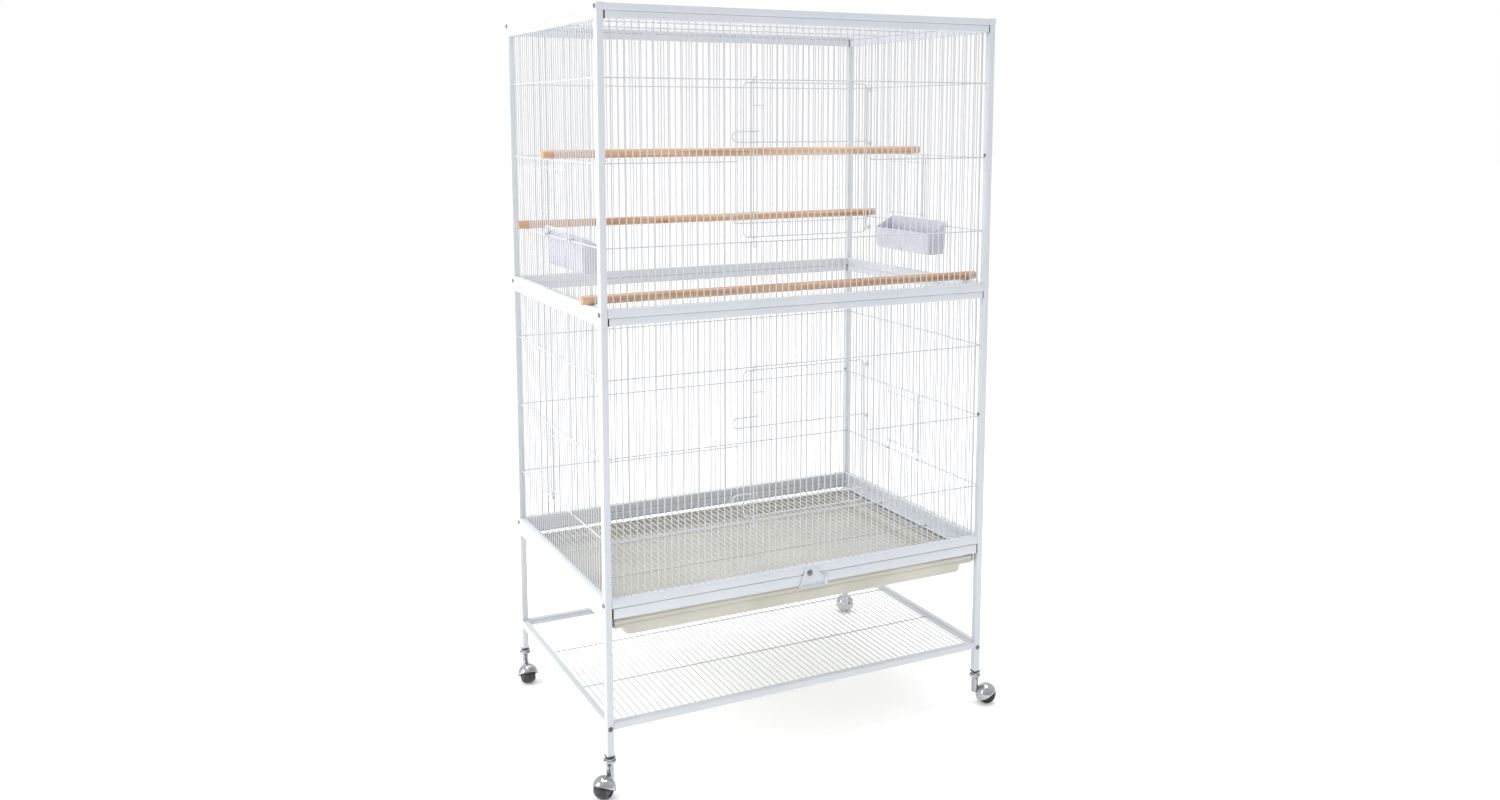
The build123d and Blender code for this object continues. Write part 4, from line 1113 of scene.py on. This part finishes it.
def build_hood(corner, hub, axle, stem):
    """A polished shell cut off on a slope, with a dished swivel head, a neck and domed axle ends."""
    node = f"caster_hood_{corner}"
    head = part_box(node)[1].z
    trail = Vector((hub.x - stem.x, hub.y - stem.y, 0)).normalized()
    lean = (Z * math.cos(HOOD_LEAN) - trail * math.sin(HOOD_LEAN)).normalized()
    side, up = cross_axes(lean)
    inner, outer = hub.z + 0.7 * MM, hub.z + 2.0 * MM
    builder = bmesh.new()

    def polar(radius, angle):
        """A ring round the lean axis; angle is measured from the plane through the hub."""
        return circle(hub + lean * radius * math.sin(angle), radius * math.cos(angle), side, up, 56)

    edge = math.asin(HOOD_CUT / outer)
    lip = 0.35 * MM / outer
    ceiling = math.radians(87)
    steps = 14
    climb = [edge + (ceiling - edge) * k / steps for k in range(1, steps + 1)]
    shell = [polar(inner, angle) for angle in climb[::-1]]
    shell += [polar(inner, edge + lip), polar(inner + 0.3 * MM, edge), polar(outer - 0.3 * MM, edge),
              polar(outer, edge + lip)]
    shell += [polar(outer, angle) for angle in climb]
    skin_rings(builder, shell)
    profile = [(3.56, 16), (3.56, 0.6), (4.4, 0.2), (7.5, 0.8), (10.2, 0), (11.1, 0.5), (11.5, 1.8),
               (11.3, 3.4), (10.2, 5.4), (8.6, 7.0), (7.3, 8.6), (6.7, 12), (6.8, 16)]
    skin_rings(builder, [circle(Vector((stem.x, stem.y, head - drop * MM)), radius * MM, X, Y, 40)
                         for radius, drop in profile], endless=True)
    add_neck(builder, hub, stem, trail, outer, head - 15 * MM)
    reach = outer - 0.4 * MM
    side, up = cross_axes(axle)
    for end in (-1, 1):
        dome = [(1.0, -3.0), (1.0, -0.8), (0.85, -0.2), (0.45, 0.0)]
        skin_rings(builder, [circle(hub + axle * end * (reach + lift * MM), AXLE_R * share, side, up, 16)
                             for share, lift in dome])
    add_wire(builder, [hub - axle * (reach - 2 * MM), hub + axle * (reach - 2 * MM)], AXLE_R, 16)
    finish_piece(f"{node}_polished", builder, [node], 45.0)


def add_neck(builder, hub, stem, trail, shell_radius, top):
    """A tapered web that runs down from the swivel head and blends into the shell."""
    across = Z.cross(trail)
    half = 6.8 * MM
    rings = []
    for k in range(9):
        z = top + (hub.z + 4 * MM - top) * k / 8
        gap = max(shell_radius ** 2 - (z - hub.z) ** 2, 0.0) ** 0.5
        near = (hub - stem).dot(trail) - gap
        front = min(max(near + 0.8 * MM, -half + 2 * MM), half)
        ring = []
        for j in range(24):
            a = 2 * math.pi * j / 24
            u = min(half * math.cos(a), front)
            ring.append(Vector((stem.x, stem.y, z)) + trail * u + across * (half * math.sin(a)))
        rings.append(ring)
    skin_rings(builder, rings)


# ---- kept CAD pieces

def paint_kept_nodes():
    """Pieces whose CAD shape is already right only take their finish."""
    for node in ("tray_runners", "post_joiners", "caster_stems", "caster_washers"):
        piece = frame["nodes"][node]
        piece.data.materials.clear()
        piece.data.materials.append(FINISH[SLOT_OF[node]])


# ---- studio

def studio_surface():
    """White paper with a faint tone of its own light."""
    material, tree, shader, coords = new_finish("studio paper", {
        "Roughness": 0.9, "Emission Color": (1, 1, 1, 1), "Emission Strength": 0.22})
    tone = noise(tree, coords, 3.0)
    colour_shader(tree, shader, tone, [(0.0, (0.93, 0.93, 0.93)), (1.0, (0.96, 0.96, 0.96))])
    return material


def area_light(name, place, target, size, power):
    light = bpy.data.lights.new(name, "AREA")
    light.shape = "RECTANGLE"
    light.size, light.size_y = size
    light.energy = power
    lamp = new_object(name, light)
    lamp.location = place
    lamp.rotation_euler = (Vector(target) - Vector(place)).to_track_quat("-Z", "Y").to_euler()


def build_studio():
    builder = bmesh.new()
    bmesh.ops.create_grid(builder, x_segments=1, y_segments=1, size=30.0)
    mesh = to_mesh("studio floor", builder)
    mesh.materials.append(studio_surface())
    floor = new_object("studio_floor", mesh)
    bpy.context.scene.world = studio_world()
    area_light("key", (-3.4, 0.1, 1.9), (0, 0, 0.7), (1.6, 2.6), 75)
    area_light("overhead", (0.1, 0.3, 3.6), (0, 0, 0.6), (2.6, 2.2), 70)


def studio_world():
    """White, but pale grey behind the viewer, which gives metal something to reflect."""
    world = bpy.data.worlds.new("studio")
    world.use_nodes = True
    tree = world.node_tree
    direction = add_node(tree, "ShaderNodeTexCoord")
    split = add_node(tree, "ShaderNodeSeparateXYZ", {0: direction.outputs["Object"]})
    height = ramp(tree, split.outputs["Z"],
                  [(0.0, (0.50, 0.505, 0.515)), (0.25, (0.70, 0.705, 0.72)), (1.0, (0.9, 0.9, 0.91))])
    behind = add_node(tree, "ShaderNodeMapRange", {"Value": split.outputs["Y"], "From Min": -0.55,
                                                   "From Max": -0.15, "To Min": 0.0, "To Max": 1.0})
    tones = {"Factor": behind.outputs["Result"], "A": height, "B": (1, 1, 1, 1)}
    mix = add_node(tree, "ShaderNodeMix", tones, data_type="RGBA")
    tree.links.new(mix.outputs["Result"], tree.nodes["Background"].inputs["Color"])
    tree.nodes["Background"].inputs["Strength"].default_value = 1.0
    return world


def build_camera():
    data = bpy.data.cameras.new("camera")
    data.sensor_width = 36.0
    data.lens = 30.52
    data.shift_y = -0.0745
    data.clip_end = 100.0
    camera = new_object("camera", data)
    camera.location = (-1.0939, -2.2220, 1.1593)
    camera.rotation_euler = (math.radians(90 - 7.56), 0.0, math.radians(-26.43))
    bpy.context.scene.camera = camera
    bpy.context.scene.view_settings.view_transform = "Standard"


build_panels()
build_flat_grilles()
build_front_doors()
build_small_doors()
build_tubes()
build_screws()
build_small_fittings()
build_latch_screw()
build_tray()
build_perches()
build_cups()
build_casters()
paint_kept_nodes()
build_studio()
build_camera()
